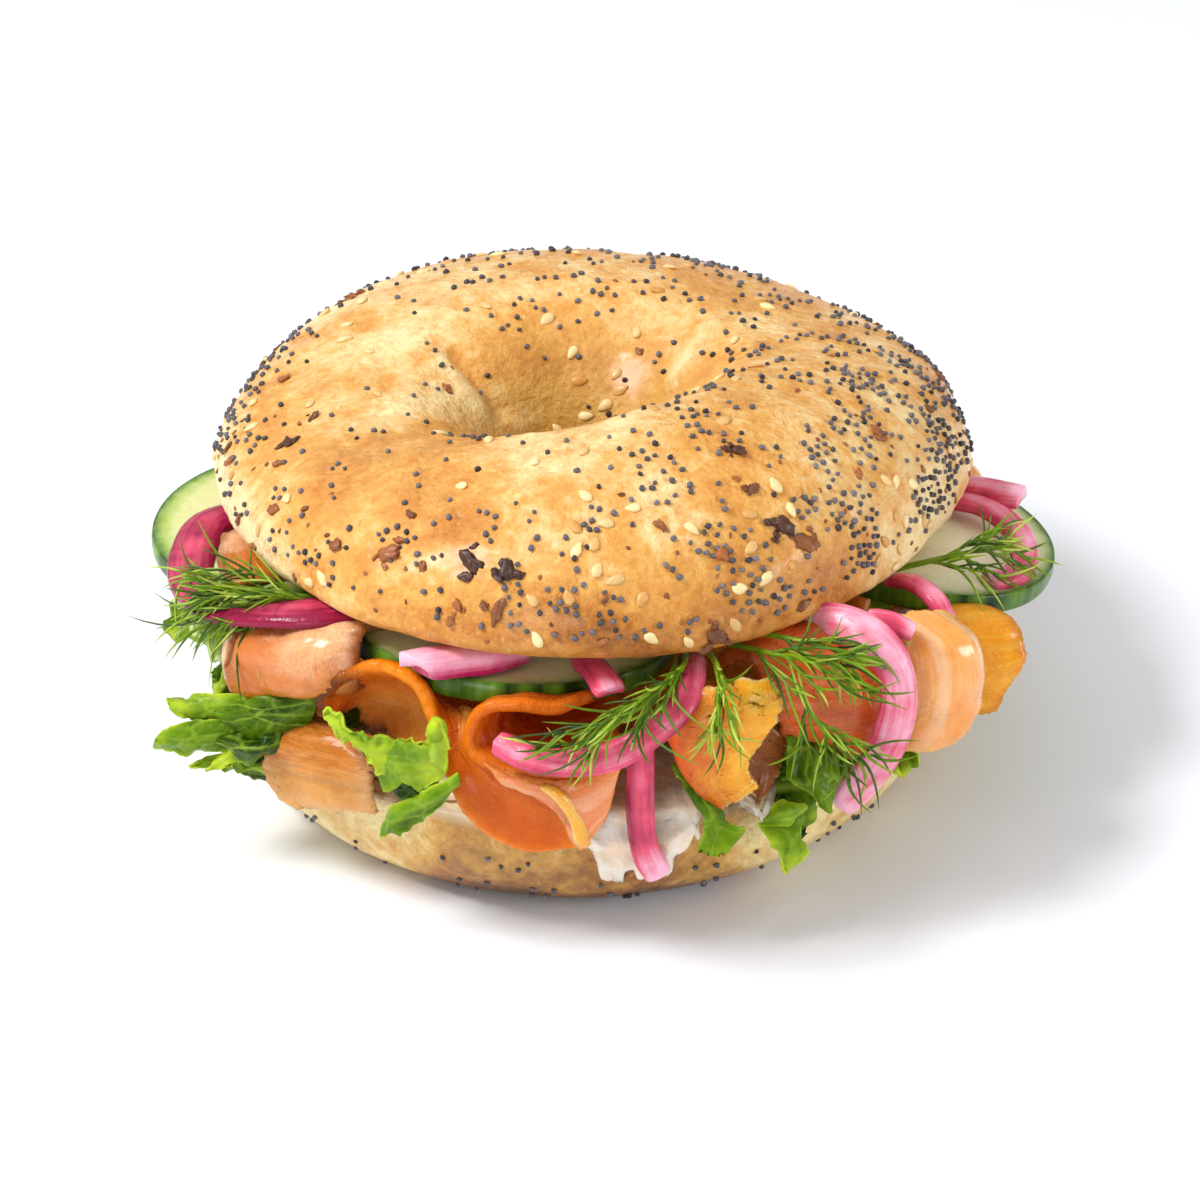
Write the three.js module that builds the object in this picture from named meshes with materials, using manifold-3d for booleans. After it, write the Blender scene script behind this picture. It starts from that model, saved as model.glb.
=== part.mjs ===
// A seeded bagel sandwich with smoked salmon, cucumber, pickled onion, lettuce, cream cheese and dill.
// Millimetres, +Z up. The front of the sandwich looks along -Y.
import * as THREE from 'three';
import { mergeVertices } from 'three/addons/utils/BufferGeometryUtils.js';
import Module from 'manifold-3d';

const wasm = await Module();
wasm.setup();

// Driving dimensions
const gap = 0.3;                 // left between pieces that touch
const salmonThick = 2.2;
const leafThick = 0.9;
const cucumberThick = 3.4;
const cream = {
  top: 19.2, inner: 17, edge: 50.4, overhang: 54.7,
  droops: [{ azimuth: 277, depth: 7.8, spread: 8.5 }, { azimuth: 300, depth: 1.6, spread: 6 }],
};

const bottomHalf = {
  radius: 54, baseRadius: 43.8, equator: 11.8, cut: 16.7, cutRadius: 53.2, holeLow: 12.5, holeHigh: 14.5,
};
const topHalf = {
  place: [-0.2, 4.7, 37.1],      // middle of its cut face
  pitch: -6.83,                  // degrees, the front is propped up by the filling
  roll: 0.95,
  radius: 58, cutRadius: 50.2, equator: 3.4, height: 22.6,
  hole: [-2.1, -7], holeRadius: 10.2, wallFoot: 4,
  crest: 0.35,                   // where the crest lies between hole and rim
  roundOut: 2.14, roundIn: 1.6,  // superellipse powers of the two flanks
};
const turns = 32;                // steps round each half

// Toppings: how many, their size, how irregular, the share that is sunk, and the least distance apart
const flake = { count: 8, length: 3.6, width: 2.6, height: 1.9, uneven: 0.5, sunk: 0.35, apart: 5.5 };
const sesame = { count: 26, length: 3.1, width: 1.9, height: 1.3, uneven: 0.1, sunk: 0.3, apart: 4.2 };
const poppy = { count: 10, length: 1.4, width: 1.2, height: 1.2, uneven: 0.1, sunk: 0.3, apart: 3.1 };
const poppyBelow = 8;            // on the bottom half

// Small helpers
const rad = THREE.MathUtils.degToRad;
const lerp = THREE.MathUtils.lerp;
const smooth = THREE.MathUtils.smoothstep;

// A place given by its azimuth in degrees (270 is the front), its radius and its height.
function at(azimuth, radius, height) {
  return new THREE.Vector3(radius * Math.cos(rad(azimuth)), radius * Math.sin(rad(azimuth)), height);
}

function seeded(seed) {
  let state = seed;
  return () => {
    state = (state * 1664525 + 1013904223) % 4294967296;
    return state / 4294967296;
  };
}

function curveOf(points) {
  return new THREE.CatmullRomCurve3(points, false, 'centripetal');
}

function stationCurve(stations) {
  return curveOf(stations.map(station => at(...station)));
}

function geometryOf(points, triangles) {
  const geometry = new THREE.BufferGeometry().setFromPoints(points);
  geometry.setIndex(triangles);
  return geometry;
}

// Volume enclosed by an indexed mesh, negative when its faces point in.
function signedVolume(geometry) {
  const { position } = geometry.attributes;
  const corner = [0, 1, 2].map(() => new THREE.Vector3());
  let sum = 0;
  for (let i = 0; i < geometry.index.count; i += 3) {
    corner.forEach((c, k) => c.fromBufferAttribute(position, geometry.index.getX(i + k)));
    sum += corner[0].dot(corner[1].clone().cross(corner[2])) / 6;
  }
  return sum;
}

function facingOut(geometry) {
  if (signedVolume(geometry) > 0) return geometry;
  const index = Array.from(geometry.index.array);
  for (let i = 0; i < index.length; i += 3) {
    [index[i + 1], index[i + 2]] = [index[i + 2], index[i + 1]];
  }
  geometry.setIndex(index);
  return geometry;
}

// Faces of a grid of points that closes on itself in both directions.
function ringSolid(rows) {
  const wide = rows[0].length;
  const triangles = [];
  for (let i = 0; i < rows.length; i++) {
    for (let j = 0; j < wide; j++) {
      const a = i * wide + j;
      const b = i * wide + (j + 1) % wide;
      const c = ((i + 1) % rows.length) * wide + j;
      const d = ((i + 1) % rows.length) * wide + (j + 1) % wide;
      triangles.push(a, c, b, b, c, d);
    }
  }
  return facingOut(geometryOf(rows.flat(), triangles));
}

// A thin solid over a grid of points, thinner at its border, both faces split alike.
function slab(grid, thickness) {
  const long = grid.length;
  const wide = grid[0].length;
  const clamp = THREE.MathUtils.clamp;
  const clampedAt = (i, j) => grid[clamp(i, 0, long - 1)][clamp(j, 0, wide - 1)];
  const upper = [];
  const lower = [];
  for (let i = 0; i < long; i++) {
    for (let j = 0; j < wide; j++) {
      const lengthwise = clampedAt(i + 1, j).clone().sub(clampedAt(i - 1, j));
      const crosswise = clampedAt(i, j + 1).clone().sub(clampedAt(i, j - 1));
      const normal = lengthwise.cross(crosswise).normalize();
      const border = i === 0 || j === 0 || i === long - 1 || j === wide - 1;
      const half = thickness * (border ? 0.36 : 0.5);
      upper.push(grid[i][j].clone().addScaledVector(normal, half));
      lower.push(grid[i][j].clone().addScaledVector(normal, -half));
    }
  }
  const count = upper.length;
  const triangles = [];
  for (let i = 0; i < long - 1; i++) {
    for (let j = 0; j < wide - 1; j++) {
      const a = i * wide + j;
      const [b, c, d] = [a + 1, a + wide, a + wide + 1];
      triangles.push(a, c, b, b, c, d);
      triangles.push(count + a, count + b, count + c, count + b, count + d, count + c);
    }
  }
  const loop = [];
  for (let j = 0; j < wide - 1; j++) loop.push(j);
  for (let i = 0; i < long - 1; i++) loop.push(i * wide + wide - 1);
  for (let j = wide - 1; j > 0; j--) loop.push((long - 1) * wide + j);
  for (let i = long - 1; i > 0; i--) loop.push(i * wide);
  loop.forEach((a, k) => {
    const b = loop[(k + 1) % loop.length];
    triangles.push(a, b, count + a, b, count + b, count + a);
  });
  return facingOut(geometryOf([...upper, ...lower], triangles));
}

// A slice or leaf lofted through rails. Each rail is a row of [azimuth, radius, height] stations.
function sheet({ rails, along, across, thickness, ripple = () => 0 }) {
  const curves = rails.map(stationCurve);
  const grid = [];
  for (let i = 0; i <= along; i++) {
    const row = curveOf(curves.map(curve => curve.getPoint(i / along)));
    grid.push([]);
    for (let j = 0; j <= across; j++) {
      const point = row.getPoint(j / across);
      point.z += ripple(i / along, j / across);
      grid[i].push(point);
    }
  }
  return slab(grid, thickness);
}

// A strip swept along a curve, of flattened section, narrower at its ends.
// face is the direction that the flat side looks in.
function strip({ path, curve = stationCurve(path), width, thickness, face, steps, sides = 6, ends = 0.62 }) {
  const points = [];
  for (let i = 0; i <= steps; i++) {
    const t = i / steps;
    const middle = curve.getPoint(t);
    const tangent = curve.getTangent(t);
    const sideways = tangent.clone().cross(face).normalize();
    const outward = sideways.clone().cross(tangent).normalize();
    const full = i === 0 || i === steps ? ends : 1;
    for (let k = 0; k < sides; k++) {
      const turn = 2 * Math.PI * k / sides;
      points.push(middle.clone()
        .addScaledVector(sideways, full * width / 2 * Math.cos(turn))
        .addScaledVector(outward, full * thickness / 2 * Math.sin(turn)));
    }
  }
  const triangles = [];
  for (let i = 0; i < steps; i++) {
    for (let k = 0; k < sides; k++) {
      const a = i * sides + k;
      const b = i * sides + (k + 1) % sides;
      triangles.push(a, b, a + sides, b, b + sides, a + sides);
    }
  }
  const last = steps * sides;
  for (let k = 1; k < sides - 1; k++) {
    triangles.push(0, k + 1, k);
    triangles.push(last, last + k, last + k + 1);
  }
  return facingOut(geometryOf(points, triangles));
}

// Solids for joining and cutting
function manifoldOf(geometry) {
  const bare = geometry.clone();
  bare.deleteAttribute('normal');
  bare.deleteAttribute('uv');
  const merged = mergeVertices(bare, 1e-4);
  return new wasm.Manifold(new wasm.Mesh({
    numProp: 3,
    vertProperties: merged.attributes.position.array,
    triVerts: Uint32Array.from(merged.index.array),
  }));
}

function geometryFrom(solid) {
  const mesh = solid.getMesh();
  const geometry = new THREE.BufferGeometry();
  geometry.setAttribute('position', new THREE.BufferAttribute(Float32Array.from(mesh.vertProperties), 3));
  geometry.setIndex(Array.from(mesh.triVerts));
  return geometry;
}

// The same mesh with every face moved out by a margin: each corner moves so that all faces
// round it do, by least squares.
function grown(geometry, margin) {
  const bare = geometry.clone();
  bare.deleteAttribute('normal');
  bare.deleteAttribute('uv');
  const merged = mergeVertices(bare, 1e-4);
  const { position } = merged.attributes;
  const sums = Array.from({ length: position.count }, () => new Float64Array(9));
  const corner = [0, 1, 2].map(() => new THREE.Vector3());
  for (let i = 0; i < merged.index.count; i += 3) {
    const ids = [0, 1, 2].map(k => merged.index.getX(i + k));
    corner.forEach((c, k) => c.fromBufferAttribute(position, ids[k]));
    const normal = corner[1].clone().sub(corner[0]).cross(corner[2].clone().sub(corner[0])).normalize();
    const { x, y, z } = normal;
    for (const id of ids) {
      [x * x, x * y, x * z, y * y, y * z, z * z, x, y, z].forEach((v, k) => {
        sums[id][k] += v;
      });
    }
  }
  const damping = 0.02;
  sums.forEach((s, id) => {
    const matrix = new THREE.Matrix3().set(
      s[0] + damping, s[1], s[2],
      s[1], s[3] + damping, s[4],
      s[2], s[4], s[5] + damping,
    );
    const move = new THREE.Vector3(s[6], s[7], s[8]).multiplyScalar(margin);
    move.applyMatrix3(matrix.invert()).clampLength(0, 3 * margin);
    position.setXYZ(id, position.getX(id) + move.x, position.getY(id) + move.y, position.getZ(id) + move.z);
  });
  return merged;
}

function joined(geometries) {
  return geometryFrom(wasm.Manifold.union(geometries.map(manifoldOf)));
}

// Bottom half of the bagel, a little out of round
function bottomOval(a) {
  return 1 - 0.005 * Math.cos(2 * a) + 0.017 * Math.sin(2 * a);
}

// Radius and height of its lower flank: turn 0 is the base and 90 degrees the equator.
function bottomFlank(turn) {
  const b = bottomHalf;
  return [b.baseRadius + (b.radius - b.baseRadius) * Math.sin(turn), b.equator * (1 - Math.cos(turn))];
}

function bottomHalfBare() {
  const b = bottomHalf;
  const rows = [];
  for (let i = 0; i < turns; i++) {
    const a = 2 * Math.PI * i / turns;
    const oval = bottomOval(a);
    const section = [
      [b.holeLow + 1.5, 0], ...[0, 28, 58, 90].map(turn => bottomFlank(rad(turn))),
      [b.cutRadius, b.cut], [b.holeHigh, b.cut], [b.holeLow, b.cut / 2],
    ];
    rows.push(section.map(([r, z]) => new THREE.Vector3(r * oval * Math.cos(a), r * oval * Math.sin(a), z)));
  }
  return ringSolid(rows);
}

// Top half of the bagel, level in its own frame with its cut face at height 0
function crownRim(a) {
  const t = topHalf;
  const wave = 1 - 0.044 * Math.cos(2 * a) + 0.005 * Math.sin(2 * a)
    + 0.013 * Math.cos(3 * a) + 0.026 * Math.sin(3 * a)
    + 0.004 * Math.cos(4 * a) + 0.007 * Math.sin(4 * a);
  return new THREE.Vector2(t.radius * wave * Math.cos(a), t.radius * wave * Math.sin(a));
}

function holeEdge(a, radius) {
  return new THREE.Vector2(topHalf.hole[0] + radius * Math.cos(a), topHalf.hole[1] + radius * Math.sin(a));
}

// A point of the crust: share 0 is the rim, 0.5 the crest and 1 the foot of the hole's wall.
function crownPoint(a, share) {
  const t = topHalf;
  const rim = crownRim(a);
  const hole = holeEdge(a, t.holeRadius);
  const crest = hole.clone().lerp(rim, t.crest);
  const high = t.height * (1 + 0.137 * Math.cos(a) + 0.031 * Math.sin(a)
    - 0.087 * Math.cos(2 * a) - 0.065 * Math.sin(2 * a));
  const outside = share <= 0.5;
  const turn = Math.PI * (outside ? share : 1 - share);
  const power = 2 / (outside ? t.roundOut : t.roundIn);
  const foot = outside ? t.equator : t.wallFoot;
  const flat = crest.lerp(outside ? rim : hole, Math.cos(turn) ** power);
  return new THREE.Vector3(flat.x, flat.y, foot + (high - foot) * Math.sin(turn) ** power);
}

const topPlace = new THREE.Matrix4().compose(
  new THREE.Vector3(...topHalf.place),
  new THREE.Quaternion().setFromEuler(new THREE.Euler(rad(topHalf.pitch), rad(topHalf.roll), 0)),
  new THREE.Vector3(1, 1, 1),
);

function topHalfBare() {
  const t = topHalf;
  const rows = [];
  for (let i = 0; i < turns; i++) {
    const a = 2 * Math.PI * i / turns;
    const rim = crownRim(a);
    const row = [];
    for (const turn of [0, 45].map(rad)) {
      const share = (t.cutRadius + (t.radius - t.cutRadius) * Math.sin(turn)) / t.radius;
      row.push(new THREE.Vector3(rim.x * share, rim.y * share, t.equator * (1 - Math.cos(turn))));
    }
    const flanks = 12;
    for (let k = 0; k <= flanks; k++) row.push(crownPoint(a, k / flanks));
    const foot = holeEdge(a, t.holeRadius + 1);
    row.push(new THREE.Vector3(foot.x, foot.y, 0));
    rows.push(row);
  }
  return ringSolid(rows).applyMatrix4(topPlace);
}

// Toppings baked onto the crust
function pebble(size, draw) {
  const geometry = new THREE.IcosahedronGeometry(0.5, 0);
  const { position } = geometry.attributes;
  const seen = new Map();
  for (let i = 0; i < position.count; i++) {
    const key = [position.getX(i), position.getY(i), position.getZ(i)].map(v => v.toFixed(3)).join();
    if (!seen.has(key)) seen.set(key, 1 + size.uneven * (draw() - 0.5));
    const k = seen.get(key);
    position.setXYZ(i, position.getX(i) * k, position.getY(i) * k, position.getZ(i) * k);
  }
  return geometry.scale(size.length, size.width, size.height);
}

// A topping of the crust, sunk by a share of its height and turned by a random angle
function bakedOn(size, a, share, draw) {
  const piece = pebble(size, draw);
  const point = crownPoint(a, share);
  const step = 0.01;
  const round = crownPoint(a + step, share).sub(point);
  const down = crownPoint(a, share + step).sub(point);
  const normal = round.clone().cross(down).normalize();
  round.normalize();
  const third = normal.clone().cross(round);
  const spin = new THREE.Matrix4().makeRotationZ(2 * Math.PI * draw());
  const stand = new THREE.Matrix4().makeBasis(round, third, normal);
  stand.setPosition(point.addScaledVector(normal, size.height * (0.5 - size.sunk)));
  return piece.applyMatrix4(spin).applyMatrix4(stand).applyMatrix4(topPlace);
}

// Places spread over the crust, denser on the right and towards the rim, clear of those taken.
function crustPlaces({ count, apart }, taken, draw) {
  const lowest = 6.5;              // above the cut face, clear of the filling
  const places = [];
  while (places.length < count) {
    const a = 2 * Math.PI * draw();
    const share = lerp(0.09, 0.8, draw());
    const point = crownPoint(a, share);
    const rimward = 1 - smooth(share, 0.2, 0.62);
    const likely = (0.45 + 0.35 * Math.cos(a)) * (0.25 + 0.75 * rimward);
    const clear = taken.every(other => other.distanceTo(point) > apart);
    if (draw() < likely && clear && point.z > lowest) {
      places.push([a, share]);
      taken.push(point);
    }
  }
  return places;
}

function crustToppings() {
  const draw = seeded(7);
  const taken = [];
  return [flake, sesame, poppy].flatMap(size =>
    crustPlaces(size, taken, draw).map(([a, share]) => bakedOn(size, a, share, draw)));
}

// A few poppy seeds low on the bottom half
function bottomToppings() {
  const draw = seeded(11);
  const solids = [];
  for (let i = 0; i < poppyBelow; i++) {
    const azimuth = 360 * (i + 0.7 * draw()) / poppyBelow;
    const [radius, height] = bottomFlank(rad(lerp(38, 62, draw())));
    solids.push(pebble(poppy, draw).translate(...at(azimuth, radius * bottomOval(rad(azimuth)), height)));
  }
  return solids;
}

// Cream cheese, spread over the bottom half and drooping over its edge at the front, where the
// steps round it are finer
function creamCheese() {
  const rows = [];
  const underside = bottomHalf.cut + 1.2 * gap;
  for (let azimuth = 0; azimuth < 360; azimuth += azimuth >= 260 && azimuth < 308 ? 4 : 12) {
    const droop = cream.droops.reduce(
      (sum, d) => sum + d.depth * Math.exp(-(((azimuth - d.azimuth) / d.spread) ** 4)), 0,
    );
    const over = smooth(droop, 0.2, 1.6);
    const ragged = 0.7 * Math.sin(rad(azimuth * 13)) + 0.5 * Math.sin(rad(azimuth * 29));
    const edge = lerp(cream.edge + ragged, cream.overhang, over);
    const low = underside - droop - 0.5 * over * ragged;
    const inner = cream.inner + 0.5 * Math.sin(rad(azimuth * 5));
    rows.push([
      at(azimuth, inner, underside),
      at(azimuth, edge - 0.6, underside),
      at(azimuth, edge, low + 0.3),
      at(azimuth, edge + 0.5 + 0.5 * over, low + 0.3 - 0.3 * over),
      at(azimuth, edge + 0.6 + 0.7 * over, lerp(low, cream.top, 0.55)),
      at(azimuth, edge - 1, cream.top),
      at(azimuth, inner + 0.5, cream.top),
    ]);
  }
  return ringSolid(rows);
}

// A round slice of cucumber: the middle of its upper face, its radius and its two tilts in degrees
function cucumberSlice([x, y, z], radius, tiltX, tiltY) {
  const half = cucumberThick / 2;
  const profile = [[0, -half], [radius - 0.4, -half], [radius, 0], [radius - 0.2, half], [0, half]];
  const disc = new THREE.LatheGeometry(profile.map(([r, h]) => new THREE.Vector2(r, h)), 20);
  disc.rotateX(Math.PI / 2).translate(0, 0, -half);
  const turn = new THREE.Quaternion().setFromEuler(new THREE.Euler(rad(tiltX), rad(tiltY), 0));
  return facingOut(joined([disc.applyQuaternion(turn).translate(x, y, z)]));
}

// A frilled leaf: a fan from a root radius out to a wavy edge
function frilledLeaf({ from, to, root, edge, lift, drop, waves, frill, along = 12, across = 4 }) {
  const grid = [];
  for (let i = 0; i <= along; i++) {
    const u = i / along;
    grid.push([]);
    for (let j = 0; j <= across; j++) {
      const v = j / across;
      const wave = Math.sin(2 * Math.PI * waves * u + 1.3);
      const second = Math.sin(2 * Math.PI * waves * 0.63 * u + 0.4);
      const reach = edge * (1 - 0.07 * (2 * u - 1) ** 2) + 2.4 * second;
      const radius = lerp(root, reach, v);
      const height = lift - drop * smooth(v, 0.74, 1) + frill * v ** 6 * wave;
      grid[i].push(at(lerp(from, to, u), radius, height));
    }
  }
  return slab(grid, leafThick);
}

// A sprig of dill: a tapering stem crossed by pairs of thread leaves that point forward and droop
function dillSprig({ path, pairs, length, face, seed }) {
  const draw = seeded(seed);
  const curve = stationCurve(path);
  const thread = { width: 0.95, thickness: 0.85, steps: 2, sides: 3, ends: 0.3 };
  const solids = [strip({ curve, width: 1.5, thickness: 1.3, face, steps: 4, sides: 3 })];
  for (let i = 0; i < pairs; i++) {
    const t = lerp(0.3, 0.94, i / (pairs - 1));
    const start = curve.getPoint(t);
    const tangent = curve.getTangent(t);
    const sideways = tangent.clone().cross(face).normalize();
    const [left, right] = [-1, 1].map(side => {
      const direction = tangent.clone().addScaledVector(sideways, side * lerp(0.4, 0.9, draw()))
        .addScaledVector(face, 0.4 * (draw() - 0.2));
      direction.z -= 0.35;
      return start.clone().addScaledVector(direction.normalize(), length * lerp(0.7, 1.1, draw()));
    });
    solids.push(strip({ ...thread, curve: new THREE.CatmullRomCurve3([left, start, right]), face }));
  }
  return joined(solids);
}

// The filling, piece by piece. Stations are [azimuth, radius, height].
const towardsViewer = new THREE.Vector3(0, -0.84, 0.54);
const towardsBack = new THREE.Vector3(0, 0.84, 0.54);
const up = new THREE.Vector3(0, 0, 1);
const outAt = azimuth => at(azimuth, 1, 0.35).normalize();

const cucumbers = {
  cucumber_left: cucumberSlice([-41.8, -0.7, 36], 22.6, -2, -2.6),
  cucumber_front: cucumberSlice([-10.2, -28.7, 36.8], 23.2, -6.8, 4.5),
  cucumber_right: cucumberSlice([46.5, 1.4, 34.3], 23.4, -5, 12),
  cucumber_back_right: cucumberSlice([23.3, 37.3, 31], 21, -8, 3),
  cucumber_back_left: cucumberSlice([-20.7, 38.9, 31], 21.5, -8.5, -2),
};

const onionRing = { width: 4.2, thickness: 2.1, steps: 10 };
const onions = {
  onion_left_arc: strip({
    ...onionRing, face: up, thickness: 1.8, steps: 11,
    path: [[178.9, 48, 37], [182.8, 55.5, 36.6], [189.7, 58.3, 36.2], [196.5, 60, 36], [203.3, 60.4, 36.8],
      [210.5, 60.3, 38.6], [218.5, 58.5, 41.2], [225.5, 55, 42.8]],
  }),
  onion_front_wedge: strip({
    width: 4.6, thickness: 3.6, face: up, steps: 5,
    path: [[245.2, 57.5, 42.6], [249, 54.5, 42.4], [254, 51, 42], [259, 46.5, 41.4]],
  }),
  onion_front_slip: strip({
    width: 3.6, thickness: 1.5, face: up, steps: 4,
    path: [[269, 48, 41.6], [271.5, 53, 42.2], [273.2, 57, 41.3]],
  }),
  onion_centre_arc: strip({
    ...onionRing, face: towardsViewer,
    path: [[257.6, 61, 35.1], [262.5, 63, 34.2], [268, 63.8, 34.2], [273, 63.8, 35.3], [277.5, 62.6, 37.6],
      [281.5, 60.5, 39.6], [284.5, 56.5, 41], [287, 50, 41.6]],
  }),
  onion_hanging: strip({
    width: 4.2, thickness: 2.2, face: outAt(278), steps: 8,
    path: [[277.4, 57.5, 34.4], [277.1, 58.4, 28], [277.1, 58.6, 22], [277.9, 58.2, 15.5],
      [279.9, 58.2, 10.6]],
  }),
  onion_right_arc: strip({
    ...onionRing, face: outAt(311), steps: 12,
    path: [[306.5, 49.5, 42], [308.4, 56, 44.4], [309.8, 61.5, 43.9], [310.9, 64.6, 41], [311.4, 65.8, 36],
      [311.4, 65, 30], [311.1, 63, 24], [310, 60.3, 18.8], [306.8, 58.6, 15.4]],
  }),
  onion_right_slip: strip({
    width: 3.2, thickness: 1.5, face: up, steps: 5,
    path: [[331, 49, 39.6], [329, 54.5, 41.2], [327.2, 59, 40.6], [326.4, 61.5, 38.2]],
  }),
  onion_right_chip: strip({
    width: 3, thickness: 1.8, face: outAt(314), steps: 3,
    path: [[313, 57, 43.9], [315, 60.5, 43.6], [316.4, 62.8, 42.4]],
  }),
  onion_side_curl: strip({
    ...onionRing, thickness: 1.8, face: up, steps: 8,
    path: [[7, 52, 35.4], [4.5, 59, 34.8], [0.5, 63, 33.6], [355, 64.3, 32.8], [349.5, 63.4, 33],
      [345, 60, 34]],
  }),
  onion_side_chunk: strip({
    width: 5, thickness: 2.6, face: up, steps: 4,
    path: [[11.5, 54, 35.2], [8.2, 60, 35.4], [5.4, 65, 35.6]],
  }),
  onion_back_arc: strip({
    ...onionRing, thickness: 1.8, face: up,
    path: [[68, 52, 31], [72, 60, 30.6], [79, 64.4, 28.6], [88, 65.2, 26.4], [96, 64.4, 27.6],
      [102, 60, 30], [106, 52, 31]],
  }),
  onion_back_strip: strip({
    width: 4, thickness: 2, face: outAt(138), steps: 8,
    path: [[140, 54, 31.6], [139, 60.5, 30.4], [138, 62.6, 25], [137.5, 62, 19], [138.4, 60.5, 14.6]],
  }),
};

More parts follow.
